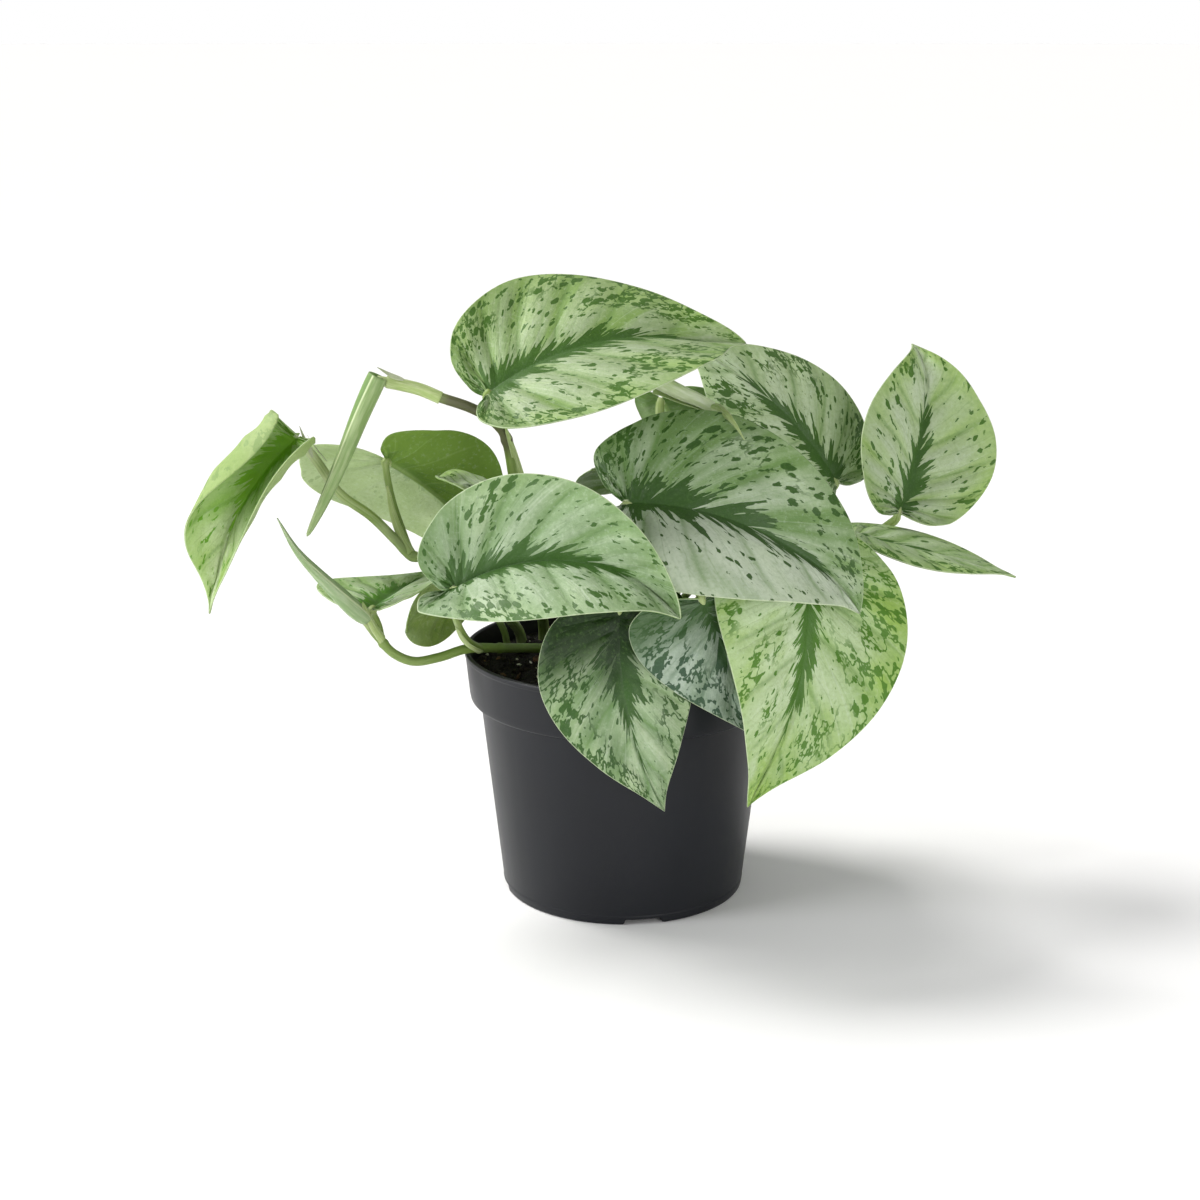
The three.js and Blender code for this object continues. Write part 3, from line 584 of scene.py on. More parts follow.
    place = paint.place()
    grain = paint.noise(place, 2600.0, 2.0, 0.6)
    cells, _ = paint.cells(place, 1500.0)
    mottle = paint.noise(place, 620.0, 4.0, 0.65)
    skin = paint.blend((0.5 - mottle).step(0.0, 0.16) * 0.2, skin, look["vein"])
    pores = (mottle - 0.53).step(0.0, 0.14) * (1 - green * 0.8) * (1 - nearStalkShading) * 0.13
    skin = paint.blend(pores, skin, look["shine"])
    fine = lines * 0.3 + mottle * 0.8 + bands * 0.6 + cells * 0.2 + grain * 0.25 - green * 0.2
    relief = fine * 0.2 + (quilt * 0.5 + hairs * 0.16 + spots * 0.3) * firm * (1 - under * 0.6)
    gloss = leafGloss
    roughness = gloss["roughness"] - green * 0.06 + (grain - 0.5) * 0.16 + under * 0.1
    bump = paint.bump(relief, gloss["relief"] * mm, 0.8)
    return paint.surface(Base_Color=skin, Roughness=roughness, Normal=bump,
                         Subsurface_Weight=gloss["subsurface"], Subsurface_Radius=leafScatter,
                         Subsurface_Scale=gloss["spread"] * mm, Specular_IOR_Level=gloss["specular"])


# The open leaves, as the part's source has them, with the look of each. Each leaf's silver, pale and green
# are set darker or paler leaf by leaf, partly the leaf's own colour and partly painted light and shade for
# how much light falls on it.
leaves = [
    {"name": "crown_leaf", "slot": "silver_leaf", "base": (-49, -31, 195), "tip": (45, 8, 207),
     "face": (-0.27, -0.66, 0.72), "widths": (44, 44), "droop": 50, "hook": -23, "fold": (8, 19),
     "curl": (13, -5), "twist": 1, "wave": 6, "phase": -1.3, "sway": 7, "full": 0.21, "lobes": (0.73, 0.81),
     "look": {"seed": 1, "centre": 7.5, "jag": 4.5, "flecks": (1.0, 1.05), "lobeFlecks": 0.6, "net": 0.15,
              "young": 0.4, "pallor": (0.4, 0.65), "ends": 0.95, "silver": "7b9852", "pale": "a2b090",
              "green": "34590f"}},
    {"name": "back_right_leaf", "slot": "silver_leaf", "base": (84, 45, 147), "tip": (24, 49, 201),
     "face": (0.15, -0.75, 0.65), "widths": (33, 32), "droop": 29, "hook": 4, "fold": (2, 8),
     "curl": (23, 27), "twist": 6, "wave": 2, "phase": 3.2, "sway": -4, "full": 0, "lobes": (1, 1.3),
     "look": {"seed": 2, "centre": 6.5, "jag": 4.5, "flecks": (0.9, 0.8), "net": 0.2, "young": 0.2,
              "pallor": (0.7, 0.6), "pale": "b7c6a6"}},
    {"name": "upright_leaf", "slot": "silver_leaf", "base": (107, 33, 138), "tip": (115, 71, 198),
     "face": (0.46, -0.72, 0.24), "widths": (30, 32), "droop": -1, "hook": 43, "fold": (21, 19),
     "curl": (21, -6), "twist": -14, "wave": 1, "phase": -0.6, "sway": -5, "full": 0.13, "lobes": (0.8, 0.5),
     "look": {"seed": 3, "centre": 6.0, "jag": 4.5, "flecks": (0.85, 0.7), "lobeFlecks": 0.3, "young": 0.5,
              "pallor": (0.7, 0.55), "silver": "93b064", "green": "365e17"}},
    {"name": "centre_leaf", "slot": "silver_leaf", "base": (0, -40, 158), "tip": (83, -45, 119),
     "face": (-0.02, -0.51, 0.85), "widths": (40, 40), "droop": 68, "hook": 7, "fold": (32, 8),
     "curl": (18, 6), "twist": 5, "wave": 3, "phase": -0.8, "sway": 1, "full": 0, "lobes": (1.8, 0.8),
     "look": {"seed": 4, "centre": 8.5, "jag": 5.0, "flecks": (0.95, 0.55), "young": 0.1, "green": "294a14",
              "pallor": (0.25, 1.1), "silver": "6f8c56", "pale": "bac6b0", "ends": 0.96, "deep": 0.3,
              "reach": 0.3}},
    {"name": "front_left_leaf", "slot": "silver_leaf", "base": (-60, -57, 131), "tip": (18, -87, 129),
     "face": (-0.01, -0.6, 0.84), "widths": (33, 32), "droop": 50, "hook": 16, "fold": (43, 29),
     "curl": (-7, 11), "twist": 27, "wave": 6, "phase": -1.36, "sway": 10, "full": 0.23,
     "lobes": (1.34, 0.28),
     "look": {"seed": 5, "centre": 8.0, "jag": 4.4, "flecks": (0.8, 1.0), "lobeFlecks": 0.6, "young": 0.15,
              "green": "2f5216", "pallor": (0.35, 0.6), "silver": "6f8b59", "pale": "9fae94",
              "vein": "4c6a37", "ends": 0.94}},
    # Its upper part near the stalk, under the front left leaf, is painted an almost black green: painted
    # shadow cast by that leaf.
    {"name": "hanging_leaf", "slot": "silver_leaf", "base": (-2, -55, 124), "tip": (14, -65, 52),
     "face": (-0.02, -1, 0.2), "widths": (27, 29), "droop": 15, "hook": 8, "fold": (3, 8), "curl": (24, 18),
     "twist": -5, "wave": 0, "phase": 0, "sway": -5, "full": -0.14, "lobes": (1, 0.9),
     "look": {"seed": 6, "centre": 7.0, "jag": 4.5, "flecks": (0.8, 0.95), "net": 0.4, "young": 0.1,
              "green": "2b4c1c", "pallor": (0.6, 0.4), "silver": "6d895c", "pale": "a3b393", "deep": 0.97,
              "reach": 0.46, "deepTint": "102803"}},
    # Its upper part near the stalk, behind the front left and centre leaves, is painted darker: painted
    # shade.
    {"name": "silver_leaf", "slot": "silver_leaf", "base": (26, -65, 130), "tip": (48, -58, 74),
     "face": (0.16, -0.96, -0.08), "widths": (25, 27), "droop": -8, "hook": -5, "fold": (-14, -1),
     "curl": (25, 14), "twist": 2, "wave": 2, "phase": 0.2, "sway": 1, "full": -0.37, "lobes": (0, 1),
     "look": {"seed": 7, "centre": 4.0, "jag": 5.5, "flecks": (0.8, 0.9), "net": 0.4, "young": 0.0,
              "vein": "4d6a50", "silver": "7c9079", "pale": "9dab9c", "green": "294530",
              "pallor": (0.5, 0.5), "deep": 0.8, "reach": 0.4}},
    {"name": "front_right_leaf", "slot": "young_leaf", "base": (63, -41, 138), "tip": (43, -66, 54),
     "face": (0.6, -0.62, 0.1), "widths": (39, 38), "droop": 48, "hook": -11, "fold": (24, 4),
     "curl": (-7, 40), "twist": -1, "wave": 2, "phase": 0.6, "sway": 3, "full": -0.22, "lobes": (1.5, 0.2),
     "look": {"seed": 8, "centre": 7.5, "jag": 4.8, "flecks": (0.75, 0.6), "net": 0.5, "young": 0.6,
              "silver": "98b572", "pale": "bccda8", "green": "42720e", "rib": "36600f", "youngTip": 0.9,
              "pallor": (0.5, 0.9)}},
    {"name": "side_leaf", "slot": "silver_leaf", "base": (85, 7, 136), "tip": (146, -5, 122),
     "face": (0.08, 0.03, 0.93), "widths": (25, 25), "droop": 4, "hook": -1, "fold": (9, 11),
     "curl": (17, 25), "twist": 5, "wave": 1, "phase": 2.8, "sway": 0, "full": 0.05, "lobes": (1, 1),
     "look": {"seed": 9, "centre": 3.0, "jag": 3.0, "flecks": (0.9, 0.9), "young": 0.4,
              "pallor": (0.3, 0.4), "silver": "7c965c", "pale": "a8b699"}},
    # Over its inner part from the stalk it is painted a bright saturated green: painted light, making up for
    # the shade inside its curl.
    {"name": "far_left_leaf", "slot": "young_leaf", "base": (-117, -20, 178), "tip": (-150, -31, 115),
     "face": (-0.3, -0.83, 0.32), "widths": (26, 32), "droop": 33, "hook": -21, "fold": (23, 31),
     "curl": (-58, -134), "twist": 6, "wave": 2, "phase": -0.2, "sway": -6, "full": -0.37,
     "lobes": (0.1, 0.25),
     "look": {"seed": 10, "centre": 6.5, "jag": 4.5, "flecks": (0.5, 0.9), "young": 0.7, "green": "5c9410",
              "silver": "9cbb6c", "pale": "c3cfa8", "rib": "75a818", "pallor": (0.9, 0.6), "ends": 0.85,
              "deep": 0.6, "reach": 0.7, "deepTint": "6c9c22", "back": "88a05c", "backPale": "a6b682"}},
    # Seen from underneath, its left half is painted pale and its right half dark green: painted light and
    # shade.
    {"name": "back_left_leaf", "slot": "leaf_underside", "base": (-87, -8, 167), "tip": (-53, 50, 113),
     "face": (0.17, 0.52, 0.71), "widths": (42, 25), "droop": 11, "hook": -28, "fold": (13, 25),
     "curl": (35, -12), "twist": -8, "wave": 3, "phase": 2.1, "sway": -8, "full": -0.24,
     "lobes": (1.95, 1.72),
     "look": {"seed": 11, "flecks": (0.4, 0.4), "young": 0.3, "back": "6f8f38", "backPale": "adbf8e",
              "backLean": 1.2}},
    {"name": "sliver_leaf", "slot": "silver_leaf", "base": (-45, -21, 158), "tip": (-67, -36, 167),
     "face": (-0.07, -0.38, 0.9), "widths": (15, 14), "droop": 2, "hook": -6, "fold": (6, 5),
     "curl": (10, 16), "twist": 3, "wave": 1, "phase": 0.4, "sway": 2, "full": 0, "lobes": (1, 1),
     "look": {"seed": 12, "centre": 2.0, "jag": 3.0, "flecks": (0.4, 0.4), "young": 0.5}},
    {"name": "low_left_leaf", "slot": "silver_leaf", "base": (-91, -35, 118), "tip": (-66, 21, 120),
     "face": (-0.29, -0.41, 0.89), "widths": (27, 25), "droop": 2, "hook": -5, "fold": (19, 13),
     "curl": (9, -3), "twist": -14, "wave": 1, "phase": 3.4, "sway": 3, "full": -0.09, "lobes": (1, 1.17),
     "look": {"seed": 13, "centre": 9.0, "jag": 4.5, "flecks": (0.9, 0.6), "young": 0.5, "green": "4a8016",
              "silver": "85a262", "pallor": (0.4, 0.7)}},
    {"name": "small_leaf", "slot": "leaf_underside", "base": (-60, 22, 108), "tip": (-81, -11, 102),
     "face": (-0.32, 1.02, 0.31), "widths": (15, 17), "droop": 25, "hook": 25, "fold": (3, 3),
     "curl": (17, 21), "twist": 1, "wave": 0, "phase": 0, "sway": 1, "full": 0.28, "lobes": (1, 1),
     "look": {"seed": 14, "centre": 3.0, "jag": 3.5, "flecks": (0.4, 0.4), "young": 0.5, "back": "7b9538"}},
    {"name": "hidden_leaf", "slot": "leaf_underside", "base": (8, 37, 150), "tip": (-12, -2, 162),
     "face": (-0.2, 0.5, 0.8), "widths": (21, 21), "droop": 22, "hook": 1, "fold": (5, 5), "curl": (15, 15),
     "twist": 0, "wave": 0, "phase": 0, "sway": 0, "full": 0, "lobes": (1, 1),
     "look": {"seed": 15, "centre": 3.0, "jag": 3.5, "flecks": (0.4, 0.4), "young": 0.3, "back": "4a7018"}},
    {"name": "back_top_leaf", "slot": "leaf_underside", "base": (15, 54, 179), "tip": (27, 78, 134),
     "face": (0.15, 0.84, 0.41), "widths": (13, 26), "droop": 17, "hook": 9, "fold": (10, 5),
     "curl": (10, 10), "twist": 1, "wave": 1, "phase": 3, "sway": -3, "full": -0.16, "lobes": (1.6, 1.2),
     "look": {"seed": 16, "centre": 3.0, "jag": 3.5, "flecks": (0.4, 0.4), "young": 0.3, "back": "5b7c3a"}},
]
for leaf in leaves:
    makeBlade(leaf, leafPaint(leaf))
print("leaves made:", len(leaves))


# A stem's green, paler towards its end, with fine lengthwise lines. bronze is where a weathered
# stretch lies along it, how far it reaches both ways and its colour.
def stemPaint(name, green="93a661", pale="b9c58f", dark="70883f", paleEnd=0.1, bronze=None):
    paint = Paint(name)
    along, around = (paint.number(key) for key in ("alongStem", "aroundStem"))
    place = paint.place()
    lines = paint.noise(paint.vector(around * 9.0, along * 2.5, 1.7), 1.0, 2.0, 0.6)
    clouds = paint.noise(place, 55.0, 2.0, 0.5)
    skin = paint.blend((lines - 0.35).step(0.0, 0.35) * 0.5, dark, green)
    skin = paint.blend((clouds - 0.42).step(0.0, 0.25) * 0.35, skin, pale)
    skin = paint.blend(along.step(1 - paleEnd, 1.0) * 0.7, skin, pale)
    if bronze:
        middle, reach, tone = bronze
        near = (abs(along - middle) - reach + (clouds - 0.5) * 0.1).step(0.02, -0.02)
        skin = paint.blend(near * 0.9, skin, tone)
    grain = paint.noise(place, 1800.0, 2.0, 0.6)
    bump = paint.bump(lines * 0.6 + grain * 0.3, 0.00015, 0.8)
    return paint.surface(Base_Color=skin, Roughness=0.46 + (grain - 0.5) * 0.15, Normal=bump,
                         Subsurface_Weight=0.1, Subsurface_Radius=leafScatter, Subsurface_Scale=0.001,
                         Specular_IOR_Level=0.45)


# point: how far a stem's ends stick out, as a share of its radius; side: where the channel faces at
# the foot.
stemMake = {"channelWidth": 0.45, "point": 0.4, "side": (0, -1, 0.2)}


# A stem: circles carried along its route, their radius a function of the share of its length, with
# a channel on one side, its depth a share of the radius, and a point at each end.
def makeStem(name, route, radius, material, replaces, rows=64, sides=18, channel=0.0):
    points = smoothRoute(route, rows)
    forward, side, other = carriedFrames(points, stemMake["side"])
    share = np.linspace(0, 1, rows)
    angle = np.linspace(0, 2 * np.pi, sides, endpoint=False)
    turned = (angle + np.pi) % (2 * np.pi) - np.pi
    ring = radius(share)[:, None] * (1 - channel * np.exp(-(turned / stemMake["channelWidth"]) ** 2))
    grid = aroundLine(points, side, other, ring, angle)
    point = stemMake["point"] * radius(share)
    ends = np.stack([points[0] - forward[0] * point[0], points[-1] + forward[-1] * point[-1]])
    faces = ringFaces(rows, sides) + capFaces(0, sides, rows * sides, True)
    faces += capFaces((rows - 1) * sides, sides, rows * sides + 1, False)
    numbers = {"alongStem": np.concatenate([np.repeat(share, sides), [0, 1]]),
               "aroundStem": np.concatenate([np.tile(np.abs(turned) / np.pi, rows), [0, 0]])}
    grid = np.vstack([grid.reshape(-1, 3), ends])
    makePiece(name, grid, faces, material, numbers, replaces=replaces)


# The stems start at a height of 80, which is 6 mm down in the peat.
stalkRoutes = {
    "crown_leaf": [(-43, -25, 180), (-45, -27, 185), (-48, -30, 191)],
    "back_right_leaf": [(20, 34, 80), (21, 34, 92), (40, 42, 110), (66, 50, 130), (81, 49, 143)],
    "upright_leaf": [(36, 22, 80), (37, 23, 92), (56, 36, 106), (82, 40, 118), (100, 37, 130),
                     (106, 34, 135)],
    "centre_leaf": [(-4, -14, 80), (-4, -15, 92), (-3, -22, 115), (-2, -32, 138), (-1, -38, 154)],
    "front_left_leaf": [(-53, -13, 96.5), (-57, -22, 102), (-60, -40, 115), (-60.5, -53, 127)],
    "hanging_leaf": [(-14, -26, 80), (-14, -28, 92), (-12, -37, 110), (-7, -47, 121), (-3, -53, 126)],
    "silver_leaf": [(6, -26, 80), (7, -28, 92), (14, -37, 112), (21, -50, 127), (25, -61, 133)],
    "front_right_leaf": [(26, -12, 80), (28, -13, 92), (42, -20, 112), (55, -31, 131), (61, -38, 138)],
    "side_leaf": [(34, 6, 80), (36, 6, 92), (50, 8, 112), (68, 9, 127), (80, 8, 134)],
    "back_left_leaf": [(-78, -13, 132), (-81, -11, 140), (-85, -9, 152), (-87, -8.5, 163)],
    "sliver_leaf": [(-35, -3, 126), (-37, -10, 134), (-40, -16, 146), (-43, -19, 154)],
    "low_left_leaf": [(-88, -32, 105), (-89, -30, 110), (-90.5, -32, 115)],
    "small_leaf": [(-45, 24, 80), (-46, 24, 92), (-52, 25, 102), (-58, 23.5, 107)],
    "hidden_leaf": [(0, 36, 80), (0, 36, 92), (4, 40, 120), (8, 39, 146)],
    "back_top_leaf": [(8, 42, 80), (8, 42, 92), (12, 46, 125), (15, 49, 155), (14.5, 51, 176)],
}
stalkMake = {"radius": 1.3, "foot": 1.55, "knee": 1.8, "last": 0.85, "channel": 0.16}
stalkSkin = stemPaint("stalkSkin", paleEnd=0.06)


# A stalk's radius: it thins upwards, swells at the knee under the blade and ends thin in the midrib.
def stalkRadius(t):
    plain = stalkMake["radius"]
    foot, knee, last = (stalkMake[key] - plain for key in ("foot", "knee", "last"))
    return (plain + foot * np.exp(-t / 0.15) + knee * np.exp(-((t - 0.93) / 0.035) ** 2)
            + last * np.clip((t - 0.95) / 0.05, 0, 1) ** 2)


for leaf in leaves:
    if leaf["name"] not in stalkRoutes:
        continue
    inside, _ = bladeSurface(leaf, np.array([0.0, 0.3]), np.array([0.0, 0.0]))
    onward = unit(inside[1] - inside[0])
    up = np.array(leaf["face"], float)
    up = unit(up - onward * (up @ onward))
    ending = [tuple(inside[0] - up * 0.5), tuple(inside[0] + onward * 2.5 - up * 0.9)]
    makeStem(leaf["name"] + "Stalk", [*stalkRoutes[leaf["name"]], *ending], stalkRadius, stalkSkin,
             [leaf["name"] + "_stalk"], channel=stalkMake["channel"])
backRollRoute = [(14, 4, 80), (14, 4, 92), (22, 2, 120), (34, -3, 155), (38.5, -8.5, 178), (37, -10, 184)]
makeStem("backRollStalk", backRollRoute, lambda t: 1.45 - 0.25 * t, stalkSkin, ["rolled_leaf_back_stalk"])

# radius: at the foot, in mm; knots: the shares of the length at which the nodes swell.
vines = {
    "crown_vine": {
        "radius": 2.1, "knots": (0.2, 0.47, 0.69), "skin": {"bronze": (0.77, 0.095, "4d4b33")},
        "route": [(-31, 34, 80), (-31, 31, 92), (-32, 14, 106), (-35, -3, 126), (-38, -13, 148),
                  (-40, -19, 163), (-43, -25, 180), (-48, -27, 186), (-55, -28, 190), (-66, -29, 194),
                  (-73, -29, 197), (-82, -30, 199), (-87, -31, 200)]},
    # This vine's skin is set paler than the other vines', partly its own colour and partly painted light
    # where it lies in shade.
    "left_vine": {
        "radius": 2.0, "knots": (0.3, 0.6), "skin": {"green": "b6c688", "pale": "d2dab2"},
        "route": [(-39, 30, 80), (-40, 28, 90), (-44, 17, 100), (-51, 0, 114), (-57, -11, 127),
                  (-67, -15, 132), (-78, -14, 132.5), (-83, -15, 138), (-92, -17, 148), (-103, -19, 157),
                  (-110, -20, 168), (-116.4, -20, 176.7)]},
    # This vine's skin is set darker than the other vines', partly painted shade.
    "low_vine": {
        "radius": 1.9, "knots": (0.4, 0.86), "skin": {"green": "708542", "pale": "99a870"},
        "route": [(-18, 16, 80), (-21, 13, 88), (-30, 6, 91), (-44, -7, 95), (-58, -16, 97.5), (-68, -22, 96),
                  (-77, -27, 96), (-84, -30, 100), (-89, -33, 107), (-92, -37, 113), (-93.5, -39, 116)]},
}

# A vine thins along its length; each knot is a swelling with a narrow waist just past it.
knot = lambda past: 0.17 * np.exp(-(past / 0.009) ** 2) - 0.05 * np.exp(-((past - 0.02) / 0.01) ** 2)
for name, vine in vines.items():
    radius = lambda t: vine["radius"] * (1.02 - 0.16 * t + sum(knot(t - at) for at in vine["knots"]))
    pieceName = name.replace("_vine", "Vine")
    skin = stemPaint(pieceName + "Skin", **vine["skin"])
    makeStem(pieceName, vine["route"], radius, skin, [name], rows=150, sides=20, channel=0.1)
print("stems made:", len(stalkRoutes) + 1 + len(vines))


# A thin shell wrapped round a route: an outer and an inner radius for each share of the length and
# of the turn, at the angle given there.
def makeWrap(name, route, share, turn, angle, outer, inner, material, replaces=()):
    points = smoothRoute(route, len(share))
    _, side, other = carriedFrames(points, (0, -1, 0.1))
    grid, faces = shell(*(aroundLine(points, side, other, radius, angle) for radius in (outer, inner)))
    both = lambda field: np.tile(np.broadcast_to(field, outer.shape).ravel(), 2)
    numbers = {"alongRoll": both(share), "turnRoll": both(turn),
               "insideRoll": np.repeat([0.0, 1.0], outer.size)}
    makePiece(name, grid, faces, material, numbers, replaces=replaces)


rollThickness = 0.4
sheathThickness = 0.3


# A young leaf still rolled up: a spiral carried along its route. The outer edge lies at the seam's
# angle and turns on by slant over the length; the radius is a function of the share, and flare lifts
# the outer edge at either end.
def makeRoll(name, route, radius, material, replaces, turns=1.35, seam=0.0, slant=0.05, flare=(0, 0)):
    share, turn = np.linspace(0, 1, 60)[:, None], np.linspace(0, 1, 56)[None, :]
    angle = 2 * np.pi * (seam + slant * share - turns * (1 - turn))
    outer = radius(share) * (0.62 + 0.38 * turn)
    outer = outer + (flare[0] * np.exp(-share / 0.07) + flare[1] * np.exp((share - 1) / 0.12)) * turn ** 3
    inner = np.maximum(outer - rollThickness * (0.35 + 0.65 * (1 - share)), outer * 0.4)
    makeWrap(name, route, share, turn, angle, outer, inner, material, replaces)


# A sheath or a stipule: a strip bent round a stem's route over an arc to both sides of the way it
# faces (in turns from the front). It closes to a point over its length, by (1 - t) ** point, and
# start is the share over which it widens from its foot.
def makeSheath(name, route, radius, facing, spread, skin="green", point=0.5, start=0.0):
    share, across = np.linspace(0, 1, 32)[:, None], np.linspace(-1, 1, 17)[None, :]
    opening = np.clip((share + 0.01) / start, 0, 1) ** 0.6 if start else 1.0
    angle = 2 * np.pi * facing + spread * across * np.clip(1.02 - share, 0, 1) ** point * opening
    outer = (radius[0] + (radius[1] - radius[0]) * share) * np.ones_like(across)
    inner = outer - sheathThickness * (1 - 0.7 * across ** 2) * (1 - 0.6 * share)
    turn = across / 2 + 0.5
    makeWrap(name, route, share, turn, angle, outer, inner, sheathSkins[skin])


# Rolled leaves and sheaths: streaks along them, a pale line at either edge, and deeper green inside
# the roll and, from the wide end down to share wedge, on the turn that shows beside the seam, which is
# the inner turn's green with painted shade of the open seam.
def rollPaint(name, green, pale, inner, wedge=0.0):
    paint = Paint(name)
    along, turn, inside = (paint.number(key) for key in ("alongRoll", "turnRoll", "insideRoll"))
    place = paint.place()
    streaks = paint.noise(paint.vector(turn * 14.0, along * 3.0 + turn * 2.0, 0.4), 1.0, 3.0, 0.6)
    lines = paint.noise(paint.vector(turn * 46.0, along * 6.0, 4.4), 1.0, 1.0, 0.5)
    clouds = paint.noise(place, 110.0, 3.0, 0.6)
    skin = paint.blend((streaks - 0.35).step(0.0, 0.35), green, pale)
    skin = paint.blend((clouds - 0.42).step(0.0, 0.3) * 0.35, skin, inner)
    skin = paint.blend((lines - 0.5).step(0.0, 0.25) * 0.2, skin, "c9d5ad")
    if wedge:
        # A dark band beside the seam, from the wide end down: painted shade of the open seam over the inner
        # turn's green.
        gap = (abs(turn - 0.25) - 0.1).step(0.02, -0.02) * along.step(wedge, wedge * 0.3)
        skin = paint.blend(gap * 0.9, skin, inner)
    skin = paint.blend(abs(turn * 2 - 1).step(0.94, 0.985) * 0.7, skin, "cfdab0")
    skin = paint.blend(inside * 0.75, skin, inner)
    grain = paint.noise(place, 2000.0, 2.0, 0.6)
    bump = paint.bump(streaks * 0.6 + lines * 0.2 + clouds * 0.3 + grain * 0.05, 0.0006, 0.8)
    return paint.surface(Base_Color=skin, Roughness=0.52 + (grain - 0.5) * 0.15, Normal=bump,
                         Specular_IOR_Level=0.3, Subsurface_Weight=0.08, Subsurface_Radius=leafScatter,
                         Subsurface_Scale=0.001)


# The three rolled leaves: way, skin, how they are rolled, and the radius at each share of the length.
rolls = {
    "crownRoll": {
        "route": [(-87, -31.5, 202), (-93, -32, 189), (-101, -33, 170), (-108, -35, 155), (-113, -36, 145)],
        "skin": ("7c965a", "9db07f", "6b8a4c", 0.5), "replaces": "rolled_leaf_crown",
        "rolled": {"turns": 1.3, "seam": 0.04, "slant": 0.08, "flare": (0.6, 0)},
        "radius": lambda t: 4.4 * (1 - t) ** 0.45 - 0.6 * np.exp(-t / 0.05) + 0.1},
    "lowRoll": {
        "route": [(-92.5, -38, 115), (-101, -44, 126), (-108, -46, 134), (-115, -48, 143), (-121, -50, 155)],
        "skin": ("7d9568", "9aab86", "6d8a4a"), "replaces": "rolled_leaf_low",
        "rolled": {"seam": 0.14, "slant": -0.1},
        "radius": lambda t: 4.6 * (1 - t) * (1 - np.exp(-(t + 0.06) / 0.09)) + 0.25},
    "backRoll": {
        "route": [(38, -10, 183), (27, -10, 189), (20, -10, 192), (12, -10, 196)],
        "skin": ("bccba0", "d6dfc6", "93ac68"), "replaces": "rolled_leaf_back",
        "rolled": {"turns": 1.2, "seam": -0.3, "flare": (0, 0.9)},
        "radius": lambda t: 1.7 + 3.9 * t - 1.8 * t * t},
}
for name, roll in rolls.items():
    skin = rollPaint(name + "Skin", *roll["skin"])
    makeRoll(name, roll["route"], roll["radius"], skin, [roll["replaces"]], **roll["rolled"])

sheathSkins = {
    "green": rollPaint("sheathSkin", "9cb16c", "bac892", "86a056"),
    "paper": rollPaint("paperSkin", "a3ae88", "bdc3aa", "9aa87c"),
}
sheaths = {
    "crownSheath": {
        "route": [(-65, -29, 193.5), (-72, -29.2, 196.5), (-79, -29.8, 198.4), (-84, -30.2, 199.4)],
        "radius": (2.25, 2.2), "facing": 0.1, "spread": 2.9, "point": 0.15},
    "crownStipule": {
        "route": [(-78, -30.5, 199.5), (-82.5, -31, 201.8), (-87, -31.5, 204.6)],
        "radius": (1.5, 0.5), "facing": 0.1, "spread": 1.4, "skin": "paper", "start": 0.45},
    "nodeSheath": {
        "route": [(-37.5, -14, 158), (-39.3, -17.5, 165), (-41.5, -22.5, 174), (-44.2, -26.5, 183)],
        "radius": (2.55, 2.5), "facing": 0.12, "spread": 1.0},
    "leftStipule": {
        "route": [(-111.5, -20.4, 171), (-114, -21, 176.5), (-116, -22, 182.4)],
        "radius": (1.7, 0.4), "facing": -0.05, "spread": 1.2, "skin": "paper", "start": 0.45},
    "leftStipuleBehind": {
        "route": [(-108.5, -20, 168), (-111.3, -20.6, 173), (-114, -21, 178.6)],
        "radius": (1.9, 0.4), "facing": 0.3, "spread": 0.9, "skin": "paper", "start": 0.45},
    "backLeftSheath": {
        "route": [(-78.5, -14, 133.5), (-82, -13.2, 140), (-85, -11.5, 148), (-87, -10.5, 158)],
        "radius": (2.0, 1.6), "facing": 0.06, "spread": 1.3},
    "lowSheath": {
        "route": [(-88.5, -32.5, 106), (-92, -36.5, 112.5), (-96, -40, 121.5)],
        "radius": (2.3, 3.0), "facing": 0.16, "spread": 1.2},
    "backSheath": {
        "route": [(32.9, -13, 187.1), (35.5, -24, 187.2), (37.6, -30, 186.2), (39.9, -33.5, 183.6),
                  (42.3, -36.5, 179.9)],
        "radius": (2.1, 0.9), "facing": 0.0, "spread": 2.0, "point": 0.7, "start": 0.2},
    "frontSheath": {
        "route": [(-53.5, -14, 97), (-57.5, -23.5, 103), (-60.3, -38, 113.5)],
        "radius": (2.1, 1.5), "facing": -0.12, "spread": 1.1},
}
for name, sheath in sheaths.items():
    makeSheath(name, **sheath)
print("rolled leaves made:", len(rolls), "sheaths:", len(sheaths))


# A profile of corners given as radius, height and rounding: each corner becomes a short curve
# between points set back from it along both sides.
def roundedProfile(corners, steps=5):
    out = []
    for i, (r, z, rounding) in enumerate(corners):
        here = np.array([r, z])
        if rounding == 0 or i in (0, len(corners) - 1):
            out.append(here)
            continue
        before, after = (np.array(corners[k][:2]) for k in (i - 1, i + 1))
        reach = [min(rounding, np.linalg.norm(p - here) * 0.45) for p in (before, after)]
        first = here + unit(before - here) * reach[0]
        last = here + unit(after - here) * reach[1]
        t = np.linspace(0, 1, steps)[:, None]
        out.extend((1 - t) ** 2 * first + 2 * t * (1 - t) * here + t ** 2 * last)
    return np.array(out)


# Long straight stretches of a profile are cut into shorter ones.
def finerProfile(profile, longest):
    out = [profile[0]]
    for before, after in zip(profile[:-1], profile[1:]):
        count = max(1, int(np.ceil(np.linalg.norm(after - before) / longest)))
        out.extend(before + (after - before) * k / count for k in range(1, count + 1))
    return np.array(out)


